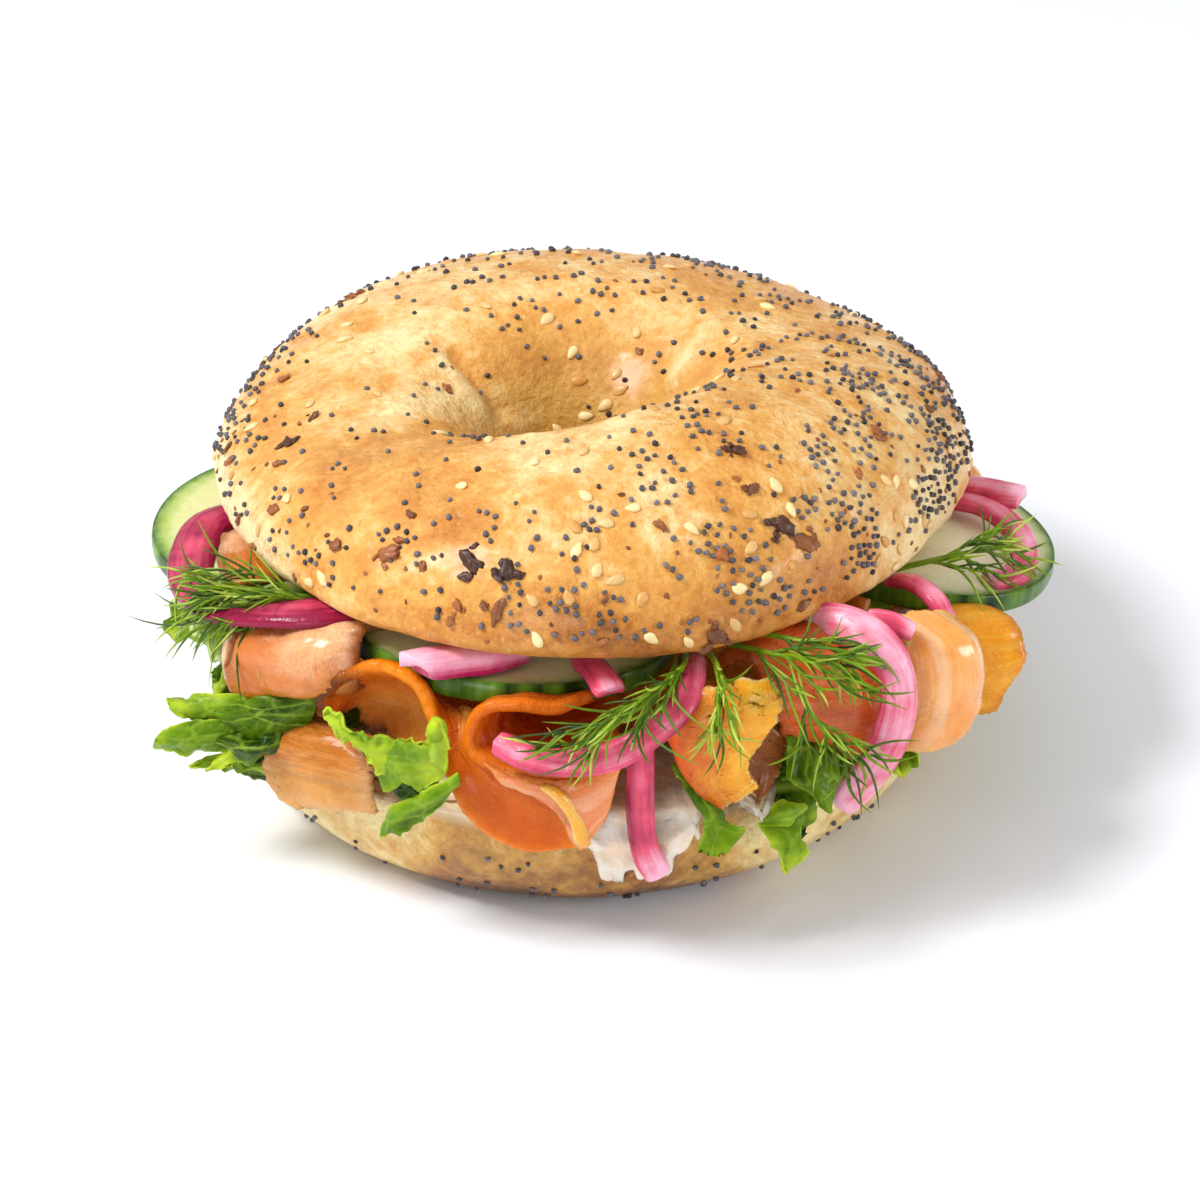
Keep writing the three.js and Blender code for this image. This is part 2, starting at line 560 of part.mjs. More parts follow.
const salmonDraw = { thickness: salmonThick, along: 9, across: 4 };
const salmons = {
  salmon_front_drape: sheet({
    ...salmonDraw, along: 13, across: 5,
    rails: [
      [[228, 57, 28.6], [231.4, 57.5, 35], [236, 57, 39.4], [241.5, 56.3, 39.6], [246, 56.5, 36],
        [248.5, 57, 30],
        [251, 57.5, 23], [256, 58, 17.8], [262, 58.5, 14.6], [267.5, 58.5, 15.2]],
      [[227, 53, 26.8], [229.4, 53, 31.4], [233.4, 52.6, 35], [238.4, 52, 36.2], [244, 52.6, 34.6],
        [248.8, 54.4, 32.4],
        [253.6, 56, 29.2], [258.6, 57, 24.6], [264.2, 57.8, 20.4], [269, 57.6, 18.2]],
      [[227.4, 50, 26.2], [230, 49, 27.6], [234, 48.4, 28.8], [239.4, 48.4, 29.4], [244.6, 49.4, 28.8],
        [250.6, 52.4, 28.6], [256, 55, 27.6], [261, 56, 24.6], [266.4, 56.4, 22.4], [270.6, 56.6, 21]],
      [[228.6, 51, 24.4], [232, 50.8, 23.2], [236, 50.8, 22.8], [240.4, 51, 22.6], [245.4, 51.4, 22.6],
        [251.4, 51, 24],
        [257, 52.4, 25], [262.4, 54, 24.8], [267.8, 54.8, 23.4], [271.8, 55, 21.8]],
    ],
  }),
  salmon_front_curl: sheet({
    ...salmonDraw, along: 11, across: 3,
    rails: [
      [[271.5, 53, 38], [264.6, 56, 38.4], [258, 57.2, 38.6], [254.4, 57.6, 37.2], [253.2, 58, 33.5],
        [254.4, 58.6, 29.4],
        [258.4, 59.4, 26.4], [263, 60, 23.8], [266.8, 60.4, 20.8], [269.8, 60.5, 19.6],
        [272.6, 60.2, 22.4], [275, 58, 28.6]],
      [[272, 46, 35], [265, 47, 35.2], [258.5, 48, 35.4], [255.2, 48.6, 34.6], [254, 49.6, 32.4],
        [255.4, 50.4, 30.2],
        [259, 52, 28.4], [263.4, 53, 27.2], [266.8, 53.4, 26], [269.8, 53.6, 25.4], [272.6, 53.2, 26.6],
        [275.2, 51.4, 29.6]],
      [[274, 30, 33], [265, 31, 33.2], [257, 32, 33.2], [252.5, 33, 32.6], [251.5, 34, 31.4],
        [253, 34, 30.2],
        [257, 34, 29.6], [262, 34, 29.2], [266, 35, 29], [270, 35, 29], [273.6, 35, 29.2], [277, 34, 30]],
    ],
  }),
  salmon_centre_fold: sheet({
    ...salmonDraw, along: 7, across: 8,
    rails: [
      [[296.2, 57.6, 40.6], [297.1, 59, 38], [296, 60, 33.4], [292.6, 59.5, 28.5], [293.5, 59, 22.9]],
      [[288.5, 56.6, 41.4], [288.2, 60, 38.4], [287.6, 60.4, 33.4], [288, 59.6, 27], [291.2, 58.4, 21.5]],
      [[282.6, 55, 38], [282, 57.2, 34], [283, 57.8, 29], [286.2, 57.6, 24], [290, 57.2, 19.8]],
      [[284.6, 51, 37], [284.4, 53, 33.6], [285.8, 54.4, 29], [288, 54.8, 24.4], [291.2, 55.2, 20]],
      [[293, 51, 33], [294.4, 52.6, 30], [295.4, 53.6, 26.6], [295.4, 54.6, 22.8], [294.6, 55.6, 18.6]],
      [[299.6, 51, 29], [302, 53.4, 25.6], [300.4, 55, 23.4], [298, 56, 20.4], [295.4, 56.6, 15.9]],
    ],
  }),
  salmon_right_drape: sheet({
    ...salmonDraw, along: 7, across: 6,
    rails: [
      [[294, 40, 33], [300, 40, 33], [306, 40, 33], [311, 41, 33], [315.6, 42, 33]],
      [[294, 50, 41], [299, 51, 42.2], [304.8, 52, 42.4], [310.2, 53, 42.8], [315, 54, 42.4]],
      [[295.4, 53.5, 37], [300, 55, 37.4], [304.4, 57, 38.4], [309.4, 59, 39], [313.8, 60, 38.6]],
      [[298.4, 54, 31.5], [302, 55.4, 31], [305.6, 57, 31], [309.6, 59.2, 31], [313.8, 60.3, 30.6]],
      [[301, 52.6, 27.4], [304, 54, 25.2], [307.6, 55.4, 23.4], [311.1, 57, 20.2], [314, 58.2, 19.4]],
    ],
  }),
  salmon_right_fold: sheet({
    ...salmonDraw, along: 6, across: 7,
    rails: [
      [[316.6, 54, 41], [316.4, 59.6, 39], [316.6, 60.8, 31], [316.8, 59, 24.6], [317, 57.6, 19.2]],
      [[319.6, 57, 42.4], [320.1, 64.2, 38.6], [320.6, 65, 30.3], [320.9, 63.6, 24.4], [320.9, 61.4, 19.4]],
      [[323, 59.4, 41.6], [324.2, 66, 37], [324.9, 66.6, 28.8], [324.8, 65.4, 23.6], [324.4, 63.2, 20]],
      [[325.6, 59.6, 40.4], [327, 63.6, 36], [327.6, 64, 28.4], [327.2, 62.8, 24], [326.6, 61, 21]],
      [[325, 56.6, 39], [326, 58.8, 35.4], [326.4, 59, 28.8], [326.2, 58.4, 25], [325.8, 57.6, 22.4]],
      [[320, 47, 36], [321, 47, 33.6], [321.6, 47, 29.6], [321.8, 47, 27.6], [322, 47, 26]],
    ],
  }),
  salmon_side_flap: sheet({
    ...salmonDraw, thickness: 2, along: 5, across: 5,
    rails: [
      [[332, 46, 29.6], [336, 46, 29.6], [340, 46, 29.6], [345, 46, 29.4]],
      [[331, 53, 32], [335.4, 57, 32.4], [339.6, 61.4, 31.6], [342, 65, 29.6]],
      [[331.4, 57.4, 26], [335, 60.6, 26.2], [338, 65, 26.4], [340.8, 67.8, 27]],
      [[332, 57.6, 20.6], [334.6, 60, 20.4], [336.8, 63.4, 20.6], [338.6, 66.6, 22.6]],
      [[332.6, 57.8, 17.4], [334.6, 59.4, 16.6], [336, 61.6, 16.4], [337.4, 64.6, 16.6]],
    ],
  }),
  salmon_left_roll: sheet({
    ...salmonDraw, along: 5, across: 7,
    rails: [
      [[213, 50, 35.8], [214.5, 57.5, 36.8], [215.4, 62, 33.5], [214, 59.8, 26.6], [213.5, 53, 24.8],
        [215, 44, 26.5]],
      [[221, 50, 37], [222.6, 56.6, 39], [226, 60.4, 36.6], [224.4, 58.8, 29], [223.5, 53, 26.8],
        [223, 44, 28]],
      [[229, 47, 34.4], [230.4, 54, 39.4], [231, 56, 36.2], [229.6, 54.6, 31], [228.6, 50, 28.4],
        [227.6, 42, 29]],
    ],
  }),
  salmon_low_flap: sheet({
    ...salmonDraw, thickness: 1.8, along: 5, across: 5,
    rails: [
      [[224, 52.9, 23], [230, 53, 23.4], [236, 53, 23.2]],
      [[222, 56.6, 23.4], [229.8, 57, 25], [238, 56.8, 24.8]],
      [[219, 59.2, 20.6], [228.6, 59.8, 22.6], [239.2, 59.2, 23.2]],
      [[218.2, 59, 17.6], [227.5, 59.8, 18.8], [239.3, 59.2, 20.6]],
      [[222, 58.2, 12], [230.3, 58.6, 12.6], [236.8, 58.2, 15]],
    ],
  }),
  salmon_left_scrap: sheet({
    ...salmonDraw, thickness: 1.2, along: 4, across: 3,
    rails: [
      [[180, 42, 37.2], [189, 42, 36.8], [198, 42, 36.8], [206, 42, 37.2]],
      [[184.6, 50, 37], [190, 50.6, 36.8], [198, 51, 36.6], [205, 50.4, 37]],
      [[186.6, 54.2, 36.6], [191, 55.4, 36.2], [198, 56.6, 36], [203.6, 55.6, 36.6]],
    ],
  }),
  salmon_back_drape: sheet({
    ...salmonDraw, along: 8,
    rails: [
      [[62, 40, 24.4], [70, 40, 25.4], [78, 40, 24.6], [86, 40, 25.4], [94, 40, 24.6]],
      [[60, 53, 25], [69, 54, 27], [78, 53, 25.2], [87, 54, 27], [95, 53, 25]],
      [[59, 59, 22.6], [69, 61, 23.6], [78, 59, 22], [87, 61, 23.4], [96, 59, 22]],
      [[58.6, 58.4, 15.4], [69, 60.2, 12.4], [78, 58.6, 14.2], [87, 60.4, 11.8], [95.4, 58.2, 15.6]],
    ],
  }),
  salmon_back_roll: sheet({
    ...salmonDraw, along: 5, across: 7,
    rails: [
      [[150, 48, 28], [150.4, 55.6, 29.4], [150.4, 60.4, 27], [150, 59.4, 23], [150.4, 54, 22.4],
        [150, 49, 23.6]],
      [[160, 48, 28.8], [160.4, 56.6, 31], [160.4, 62, 27.6], [160, 60.6, 23.2], [160.4, 54, 22.4],
        [160, 49, 23.6]],
      [[171, 47, 28.8], [171.4, 55.6, 30.4], [171.4, 60.2, 27.6], [171, 59, 23.4], [171.4, 54, 22.6],
        [171, 49, 23.4]],
    ],
  }),
  salmon_back_fold: sheet({
    ...salmonDraw, along: 6, across: 6,
    rails: [
      [[14, 42, 28.4], [24, 42, 28.6], [34, 42, 28], [42, 42, 27.6]],
      [[13, 54, 29.4], [24, 56, 30.4], [35, 56, 29.4], [43, 55, 28.4]],
      [[13.4, 61.6, 26.6], [24, 64.4, 27], [35, 64, 26.2], [43, 61.4, 25.6]],
      [[15.6, 59.6, 23], [24.6, 61, 22.6], [34.6, 61, 22.4], [41.6, 59.4, 22.8]],
      [[18, 52, 24], [25, 52, 23.6], [34, 52, 23.6], [40, 52, 24]],
    ],
  }),
};

// Slices that lie flat inside, one in each quarter, from the hole out to the folded ones
const innerSlices = {
  salmon_inner_front_left: [184, 264, 43, 24.4, 4.6],
  salmon_inner_front_right: [270, 352, 43, 24.4, 4.6],
  salmon_inner_back_right: [4, 84, 48, 23.2, 2.8],
  salmon_inner_back_left: [92, 176, 48, 23.2, 2.8],
};
for (const [name, [from, to, reach, height, thickness]] of Object.entries(innerSlices)) {
  const stations = [0, 1, 2, 3, 4].map(k => lerp(from, to, k / 4));
  const inner = 18;
  salmons[name] = sheet({
    ...salmonDraw, thickness, along: 6, across: 2,
    rails: [inner, lerp(inner, reach, 0.5), reach].map(radius => stations.map((azimuth, k) =>
      [azimuth, radius + (k % 2 ? 1.5 : 0), height + 0.5 * Math.sin(2.1 * k + radius)])),
  });
}

const leafDraw = { thickness: leafThick, along: 12, across: 5 };
const frillOf = (amount, waves) => (u, v) => amount * v * v * Math.sin(2 * Math.PI * waves * u + 2 * v);
const lettuces = {
  lettuce_left: sheet({
    ...leafDraw, along: 14, across: 3, ripple: frillOf(0.9, 4.6),
    rails: [
      [[206, 24, 20.3], [209, 24, 20.3], [212, 24, 20.3], [214, 24, 20.3], [216, 24, 20.3], [218, 24, 20.3],
        [221, 24, 20.3], [226, 24, 20.3]],
      [[209.5, 45, 22.2], [211.5, 45, 22.2], [213, 45, 22], [214.4, 45, 21.8], [216, 45, 21.6],
        [218, 45, 21.2],
        [220.6, 45, 20.8], [225, 45, 20.4]],
      [[208.4, 54, 26.2], [210.4, 54, 25.8], [212, 54, 24.8], [212.6, 55, 23.2], [214, 55, 21.8],
        [216, 54.6, 20.8],
        [218.4, 55.4, 19], [223.4, 54.6, 19]],
      [[203.4, 66, 26.8], [206, 68.4, 24.8], [208.4, 64, 24], [207.2, 70.6, 20], [209, 71.2, 16],
        [212.8, 64, 17.8],
        [212, 67.6, 13.9], [220.5, 62, 17]],
    ],
  }),
  lettuce_left_behind: sheet({
    ...leafDraw, along: 6, across: 3, ripple: frillOf(0.8, 2.4),
    rails: [
      [[190, 38, 29], [196, 38, 28.6], [202, 38, 28.4], [207, 38, 28.4]],
      [[191, 53, 30.4], [197, 53, 29.8], [203, 52, 29.2], [208, 52, 29]],
      [[193.2, 63, 30.2], [198, 62, 29.4], [203.6, 61, 28.8], [209.4, 60.4, 28.4]],
    ],
  }),
  lettuce_front_frill: sheet({
    ...leafDraw, along: 10, across: 3, ripple: (u, v) => 0.7 * Math.sin(15 * u + 4 * v),
    rails: [
      [[231, 60, 36], [235, 61, 31.5], [240, 61.6, 28.5], [244.5, 62, 27.5], [248, 62.5, 31.5],
        [251.5, 63, 35.5]],
      [[231.5, 60.4, 33.8], [236, 61, 29], [240.5, 61.2, 25.4], [245, 61.4, 24], [249, 62, 26.5],
        [252, 62.3, 31]],
      [[232, 60.4, 32.4], [236.5, 60.6, 27], [240, 60.8, 21], [242.6, 60.6, 16.6], [248, 61, 20],
        [252.3, 61.5, 26.5]],
    ],
  }),
  lettuce_front_stalk: sheet({
    ...leafDraw, thickness: 1.3, along: 6, across: 3,
    rails: [
      [[284.6, 53.6, 25], [285.8, 55.8, 21.4], [285.6, 57.4, 17], [285.2, 57.8, 14.3]],
      [[285.8, 54, 25.2], [287.2, 56.4, 21.2], [288, 58, 17.3], [288.6, 58.4, 14.6]],
      [[287, 53.6, 25], [288.5, 56, 21.3], [290, 57.6, 17.8], [291.6, 58, 15.6]],
    ],
  }),
  lettuce_front_right: sheet({
    ...leafDraw, along: 6, across: 6, ripple: (u, v) => 0.5 * Math.sin(9 * u + 9 * v),
    rails: [
      [[299, 38, 20.3], [300, 50, 20.4], [299, 54.4, 18.6], [296, 57, 16], [297, 58.2, 12.6]],
      [[303, 38, 20.3], [303.6, 50, 20.5], [303, 55.2, 18], [300.4, 57.6, 13.6], [299.4, 58.8, 8.4]],
      [[304.6, 38, 20.3], [306, 50, 20.6], [306.6, 55.4, 17.4], [304.6, 57.4, 12.6], [302.6, 58, 10.4]],
    ],
  }),
  lettuce_right: sheet({
    ...leafDraw, along: 6, across: 3, ripple: frillOf(0.7, 2.2),
    rails: [
      [[308, 30, 20.3], [312, 30, 20.3], [317, 30, 20.3], [323, 30, 20.3], [330, 30, 20.3]],
      [[307.4, 50, 20.6], [310, 50, 20.4], [315, 50, 20.4], [322, 50, 20.4], [328, 50, 20.4]],
      [[304, 55.4, 22], [308, 56.8, 20], [313, 58.6, 17.8], [319.4, 61.8, 17.4], [326, 58, 17.8]],
    ],
  }),
  lettuce_side: frilledLeaf({
    from: 338, to: 366, root: 26, edge: 61, lift: 20.4, drop: 2.6, waves: 3, frill: 1.6, along: 10, across: 3,
  }),
  lettuce_back_right: frilledLeaf({
    from: 20, to: 58, root: 26, edge: 62, lift: 20.4, drop: 5, waves: 4, frill: 1.6,
  }),
  lettuce_back: frilledLeaf({
    from: 99, to: 134, root: 26, edge: 62, lift: 20.4, drop: 4, waves: 3.6, frill: 2,
  }),
  lettuce_back_left: frilledLeaf({
    from: 148, to: 184, root: 26, edge: 64, lift: 20.4, drop: 4.4, waves: 4, frill: 1.4,
  }),
};

const dills = {
  dill_left: {
    pairs: 3, length: 11, seed: 3,
    path: [[224, 48, 41], [218, 55, 42.6], [212, 61, 42.4], [206.5, 64.5, 40]],
  },
  dill_centre: {
    pairs: 4, length: 13, seed: 5,
    path: [[286.4, 48, 41.4], [283.4, 57.5, 44.4], [278, 63.8, 44.2], [271, 65.6, 42]],
  },
  dill_hanging: {
    pairs: 4, length: 8.5, seed: 8,
    path: [[289.4, 48, 41.4], [288, 57, 44], [287, 62.4, 43], [285.6, 63.8, 38]],
  },
  dill_right: {
    pairs: 4, length: 12, seed: 13,
    path: [[293, 47.5, 41.2], [296, 56, 43.6], [301, 63, 44.8], [305, 67, 45.4]],
  },
  dill_low: {
    pairs: 4, length: 9, seed: 21,
    path: [[299, 57.8, 40.8], [300, 61, 37], [301.4, 63.6, 32.6], [302.6, 65.4, 27.6]],
  },
  dill_side: {
    pairs: 3, length: 11, seed: 34,
    path: [[336, 47, 37.6], [339.6, 54, 39.4], [343.4, 59.6, 39.8], [346.6, 63, 38.4]],
  },
};
const backDill = {
  dill_back: {
    pairs: 4, length: 9, seed: 55,
    path: [[114, 48, 30.6], [110, 56, 29.8], [105, 61, 27.6], [101, 62.5, 23.6]],
  },
};

// Finishes
const finish = {
  crust: new THREE.MeshStandardMaterial({ color: 0xd9a05b, roughness: 0.55, metalness: 0 }),
  paleCrust: new THREE.MeshStandardMaterial({ color: 0xe3c88f, roughness: 0.6, metalness: 0 }),
  cream: new THREE.MeshStandardMaterial({ color: 0xf6f1ea, roughness: 0.45, metalness: 0 }),
  cucumber: new THREE.MeshStandardMaterial({ color: 0xc7d68a, roughness: 0.35, metalness: 0 }),
  onion: new THREE.MeshStandardMaterial({ color: 0xd9589a, roughness: 0.3, metalness: 0 }),
  salmon: new THREE.MeshStandardMaterial({ color: 0xe8863f, roughness: 0.3, metalness: 0 }),
  lettuce: new THREE.MeshStandardMaterial({ color: 0x76b139, roughness: 0.4, metalness: 0 }),
  dill: new THREE.MeshStandardMaterial({ color: 0x2f6b22, roughness: 0.5, metalness: 0 }),
};

// Every piece in order of precedence: a later one gives way to all before it.
const pieces = [
  { name: 'bagel_bottom', material: finish.paleCrust, shape: bottomHalfBare(), extras: bottomToppings() },
  { name: 'bagel_top', material: finish.crust, shape: topHalfBare(), extras: crustToppings() },
];
function addPieces(shapes, material) {
  for (const [name, shape] of Object.entries(shapes)) pieces.push({ name, material, shape, extras: [] });
}
const sprigs = (list, face) => Object.fromEntries(
  Object.entries(list).map(([name, spec]) => [name, dillSprig({ ...spec, face })]),
);
addPieces(cucumbers, finish.cucumber);
addPieces(onions, finish.onion);
addPieces(salmons, finish.salmon);
addPieces(lettuces, finish.lettuce);
addPieces({ cream_cheese: creamCheese() }, finish.cream);
addPieces(sprigs(dills, towardsViewer), finish.dill);
addPieces(sprigs(backDill, towardsBack), finish.dill);

// Keeps the largest body of a solid and drops loose scraps.
function largestBody(solid) {
  return solid.decompose().reduce((best, body) => (body.volume() > best.volume() ? body : best));
}

const sandwich = new THREE.Group();
sandwich.name = 'bagel_sandwich';
const placed = [];
for (const { name, material, shape, extras } of pieces) {
  shape.computeBoundingBox();
  const room = shape.boundingBox.clone().expandByScalar(2 * gap);
  let solid = manifoldOf(shape);
  for (const other of placed) {
    if (other.box.intersectsBox(room)) solid = solid.subtract(other.cutter);
  }
  if (extras.length) solid = wasm.Manifold.union([solid, ...extras.map(manifoldOf)]);
  const mesh = new THREE.Mesh(geometryFrom(largestBody(solid)), material);
  mesh.name = name;
  sandwich.add(mesh);
  placed.push({ cutter: manifoldOf(grown(shape, gap)), box: shape.boundingBox.clone() });
}

// The origin is the middle of the underside of the whole sandwich's box.
const whole = new THREE.Box3().setFromObject(sandwich);
const middle = whole.getCenter(new THREE.Vector3());
sandwich.position.set(-middle.x, -middle.y, -whole.min.z);
sandwich.updateMatrixWorld(true);

export default sandwich;
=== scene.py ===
"""Looks of the bagel sandwich for Blender 4.5. Shapes are worked out in millimetres in the part's own
frame, where the front looks along -Y, and are moved into the row frame when a piece is made."""

import bmesh
import bpy
import numpy as np
from mathutils import Matrix, Vector
from mathutils.bvhtree import BVHTree


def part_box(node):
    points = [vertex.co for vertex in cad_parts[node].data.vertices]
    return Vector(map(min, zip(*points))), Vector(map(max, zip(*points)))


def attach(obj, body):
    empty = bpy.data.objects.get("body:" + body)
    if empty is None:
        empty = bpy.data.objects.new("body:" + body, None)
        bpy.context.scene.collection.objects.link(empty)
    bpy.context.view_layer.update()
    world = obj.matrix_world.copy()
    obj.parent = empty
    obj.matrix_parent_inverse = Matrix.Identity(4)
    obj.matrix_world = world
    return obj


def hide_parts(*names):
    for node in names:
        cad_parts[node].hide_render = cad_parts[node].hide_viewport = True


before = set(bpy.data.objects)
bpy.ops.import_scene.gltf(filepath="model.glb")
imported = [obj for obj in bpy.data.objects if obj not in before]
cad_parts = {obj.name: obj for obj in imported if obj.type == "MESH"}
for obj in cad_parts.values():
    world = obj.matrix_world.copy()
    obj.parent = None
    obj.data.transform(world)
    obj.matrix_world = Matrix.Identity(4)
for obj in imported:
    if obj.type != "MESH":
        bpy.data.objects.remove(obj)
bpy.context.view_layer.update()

# Camera, in the part's own frame
PICTURE = 1200
EYE = np.array([0.0, -629.003, 408.479])
AIM = np.array([1.758, 9.787, 15.071])
LENS = 148.5
SENSOR = 36.0
MM = 0.001


def bottom_oval(a):
    return 1 - 0.005 * np.cos(2 * a) + 0.017 * np.sin(2 * a)


def own_shift():
    """Move from the part's own frame to the row frame, found from the bottom half's box."""
    low, high = (np.array(corner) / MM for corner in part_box("bagel_bottom"))
    a = np.arange(32) / 32 * 2 * np.pi
    outline = 54 * bottom_oval(a)[:, None] * np.stack([np.cos(a), np.sin(a)], -1)
    middle = (outline.min(0) + outline.max(0)) / 2
    return np.array([*((low + high)[:2] / 2 - middle), low[2]])


SHIFT = own_shift()
scene = bpy.context.scene


def make_camera():
    camera = bpy.data.objects.new("camera", bpy.data.cameras.new("camera"))
    camera.data.lens = LENS
    camera.data.sensor_width = SENSOR
    camera.data.clip_start = 0.05
    camera.data.clip_end = 20
    eye = Vector((EYE + SHIFT) * MM)
    aim = Vector((AIM + SHIFT) * MM)
    camera.location = eye
    camera.rotation_euler = (aim - eye).to_track_quat("-Z", "Y").to_euler()
    scene.collection.objects.link(camera)
    scene.camera = camera


make_camera()
scene.view_settings.view_transform = "Standard"


def sight(x, y):
    """Direction from the eye through a place in the picture."""
    forward = (AIM - EYE) / np.linalg.norm(AIM - EYE)
    right = np.cross(forward, [0, 0, 1])
    right /= np.linalg.norm(right)
    up = np.cross(right, forward)
    return forward * PICTURE * LENS / SENSOR + right * (x - PICTURE / 2) + up * (PICTURE / 2 - y)


# Numbers and curves
def smooth(x, low, high):
    t = np.clip((x - low) / (high - low), 0, 1)
    return t * t * (3 - 2 * t)


def lerp(a, b, t):
    return a + (b - a) * t


def unit(v):
    return v / np.maximum(np.linalg.norm(v, axis=-1, keepdims=True), 1e-9)


def at(azimuth, radius, height):
    """Places given by azimuth in degrees (270 is the front), radius and height."""
    a = np.radians(azimuth)
    parts = np.broadcast_arrays(radius * np.cos(a), radius * np.sin(a), np.asarray(height, float))
    return np.stack(parts, -1)


def stations(rows):
    """Places of stations, each an azimuth, a radius and a height."""
    return at(*np.array(rows, float).T)


def spline(points, t):
    """Centripetal Catmull-Rom curve through points[0], points[1] and so on, at each t from 0 to 1."""
    points = np.asarray(points, float)
    before = 2 * points[:1] - points[1:2]
    after = 2 * points[-1:] - points[-2:-1]
    padded = np.concatenate([before, points, after])
    last = len(points) - 1
    place = np.clip(np.atleast_1d(t) * last, 0, last - 1e-9)
    i = place.astype(int)
    w = (place - i).reshape(-1, *[1] * (points.ndim - 1))
    a, b, c, d = (padded[i + k] for k in range(4))
    ab, bc, cd = (np.maximum(((q - p) ** 2).sum(-1, keepdims=True), 1e-9) ** 0.25
                  for p, q in ((a, b), (b, c), (c, d)))
    start = ((b - a) / ab - (c - a) / (ab + bc) + (c - b) / bc) * bc
    end = ((c - b) / bc - (d - b) / (bc + cd) + (d - c) / cd) * bc
    return b + w * (start + w * ((3 * (c - b) - 2 * start - end) + w * (2 * (b - c) + start + end)))


def lattice(corner, seed):
    """A number from -1 to 1 for each whole-number corner."""
    mask = 0xFFFFFFFF
    h = (corner[..., 0] * 374761393 + corner[..., 1] * 668265263 + corner[..., 2] * 1440670441
         + seed * 974634777) & mask
    h = ((h ^ (h >> 13)) * 1274126177) & mask
    h = ((h ^ (h >> 16)) * 668265263) & mask
    return (h ^ (h >> 15)) / mask * 2 - 1


def noise(points, size, seed=0):
    """Smooth noise from -1 to 1 with features of the given size."""
    p = np.asarray(points, float) / size
    if p.shape[-1] < 3:
        p = np.concatenate([p, np.zeros((*p.shape[:-1], 3 - p.shape[-1]))], -1)
    cell = np.floor(p).astype(np.int64)
    f = p - cell
    f = f * f * f * (f * (f * 6 - 15) + 10)
    total = 0
    for corner in np.ndindex(2, 2, 2):
        weight = np.prod(np.where(corner, f, 1 - f), axis=-1)
        total = total + weight * lattice(cell + np.array(corner), seed)
    return total


def noise1(x, size, seed=0):
    return noise(np.asarray(x, float)[..., None], size, seed)


def fractal(points, size, octaves=3, seed=0):
    return sum(noise(points, size / 2 ** k, seed + 31 * k) / 2 ** k for k in range(octaves))


def grid_normals(grid, wrap=(False, False)):
    """Unit normals of a grid of points."""
    steps = []
    for axis in (0, 1):
        if wrap[axis]:
            steps.append(np.roll(grid, -1, axis) - np.roll(grid, 1, axis))
        else:
            steps.append(np.gradient(grid, axis=axis))
    return unit(np.cross(steps[0], steps[1]))


def sample(grid, u, v):
    """Values of a grid at u and v from 0 to 1, between its points."""
    x = np.clip(u, 0, 1) * (grid.shape[0] - 1)
    y = np.clip(v, 0, 1) * (grid.shape[1] - 1)
    i = np.minimum(x.astype(int), grid.shape[0] - 2)
    j = np.minimum(y.astype(int), grid.shape[1] - 2)
    fx = (x - i)[..., None]
    fy = (y - j)[..., None]
    near = grid[i, j] * (1 - fx) + grid[i + 1, j] * fx
    far = grid[i, j + 1] * (1 - fx) + grid[i + 1, j + 1] * fx
    return near * (1 - fy) + far * fy


# Meshes: a part is a dict of points, triangles, uv and per-point values
def triangles_of(ids, wrap=(False, False)):
    """Triangles over a grid of point numbers."""
    if wrap[0]:
        ids = np.concatenate([ids, ids[:1]], 0)
    if wrap[1]:
        ids = np.concatenate([ids, ids[:, :1]], 1)
    a = ids[:-1, :-1].ravel()
    b = ids[:-1, 1:].ravel()
    c = ids[1:, :-1].ravel()
    d = ids[1:, 1:].ravel()
    return np.concatenate([np.stack([a, c, b], -1), np.stack([b, c, d], -1)])


def part_of(grid, wrap=(False, False), uv=None, **values):
    """A part from a grid of points, with its faces outward where the grid runs the right way."""
    count = grid.shape[0] * grid.shape[1]
    ids = np.arange(count).reshape(grid.shape[:2])
    uv = np.zeros((count, 2)) if uv is None else uv.reshape(-1, 2)
    return {
        "points": grid.reshape(-1, 3), "faces": triangles_of(ids, wrap), "uv": uv,
        "values": {name: np.broadcast_to(value, grid.shape[:2]).ravel() for name, value in values.items()},
    }


def merged(parts):
    start = 0
    faces = []
    for part in parts:
        faces.append(part["faces"] + start)
        start += len(part["points"])
    names = parts[0]["values"]
    return {
        "points": np.concatenate([part["points"] for part in parts]),
        "faces": np.concatenate(faces),
        "uv": np.concatenate([part["uv"] for part in parts]),
        "values": {name: np.concatenate([part["values"][name] for part in parts]) for name in names},
    }


def outward(part):
    """The part with its faces turned so that it encloses a positive volume."""
    corner = part["points"][part["faces"]]
    middle = part["points"].mean(0)
    a, b, c = (corner[:, k] - middle for k in range(3))
    if (a * np.cross(b, c)).sum() < 0:
        part["faces"] = part["faces"][:, ::-1]
    return part


def without(spec, *names):
    return {key: value for key, value in spec.items() if key not in names}


def piece(name, part, material, nodes):
    """Makes a shown piece that rides on the root body and stands for CAD nodes."""
    mesh = bpy.data.meshes.new(name)
    mesh.from_pydata((part["points"] + SHIFT) * MM, [], part["faces"])
    for key, values in part["values"].items():
        layer = mesh.attributes.new(key, "FLOAT", "POINT")
        layer.data.foreach_set("value", np.ascontiguousarray(values, np.float32))
    layer = mesh.uv_layers.new(name="surface")
    corners = part["uv"][part["faces"].ravel()]
    layer.data.foreach_set("uv", np.ascontiguousarray(corners, np.float32).ravel())
    mesh.shade_smooth()
    mesh.materials.append(material)
    made = bpy.data.objects.new(name, mesh)
    scene.collection.objects.link(made)
    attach(made, "root")
    if nodes:
        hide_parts(*nodes)


def food(kind, place, part, material):
    """A shown piece for the CAD node of that kind and place."""
    node = f"{kind}_{place}"
    piece(node + "_look", part, material, [node])


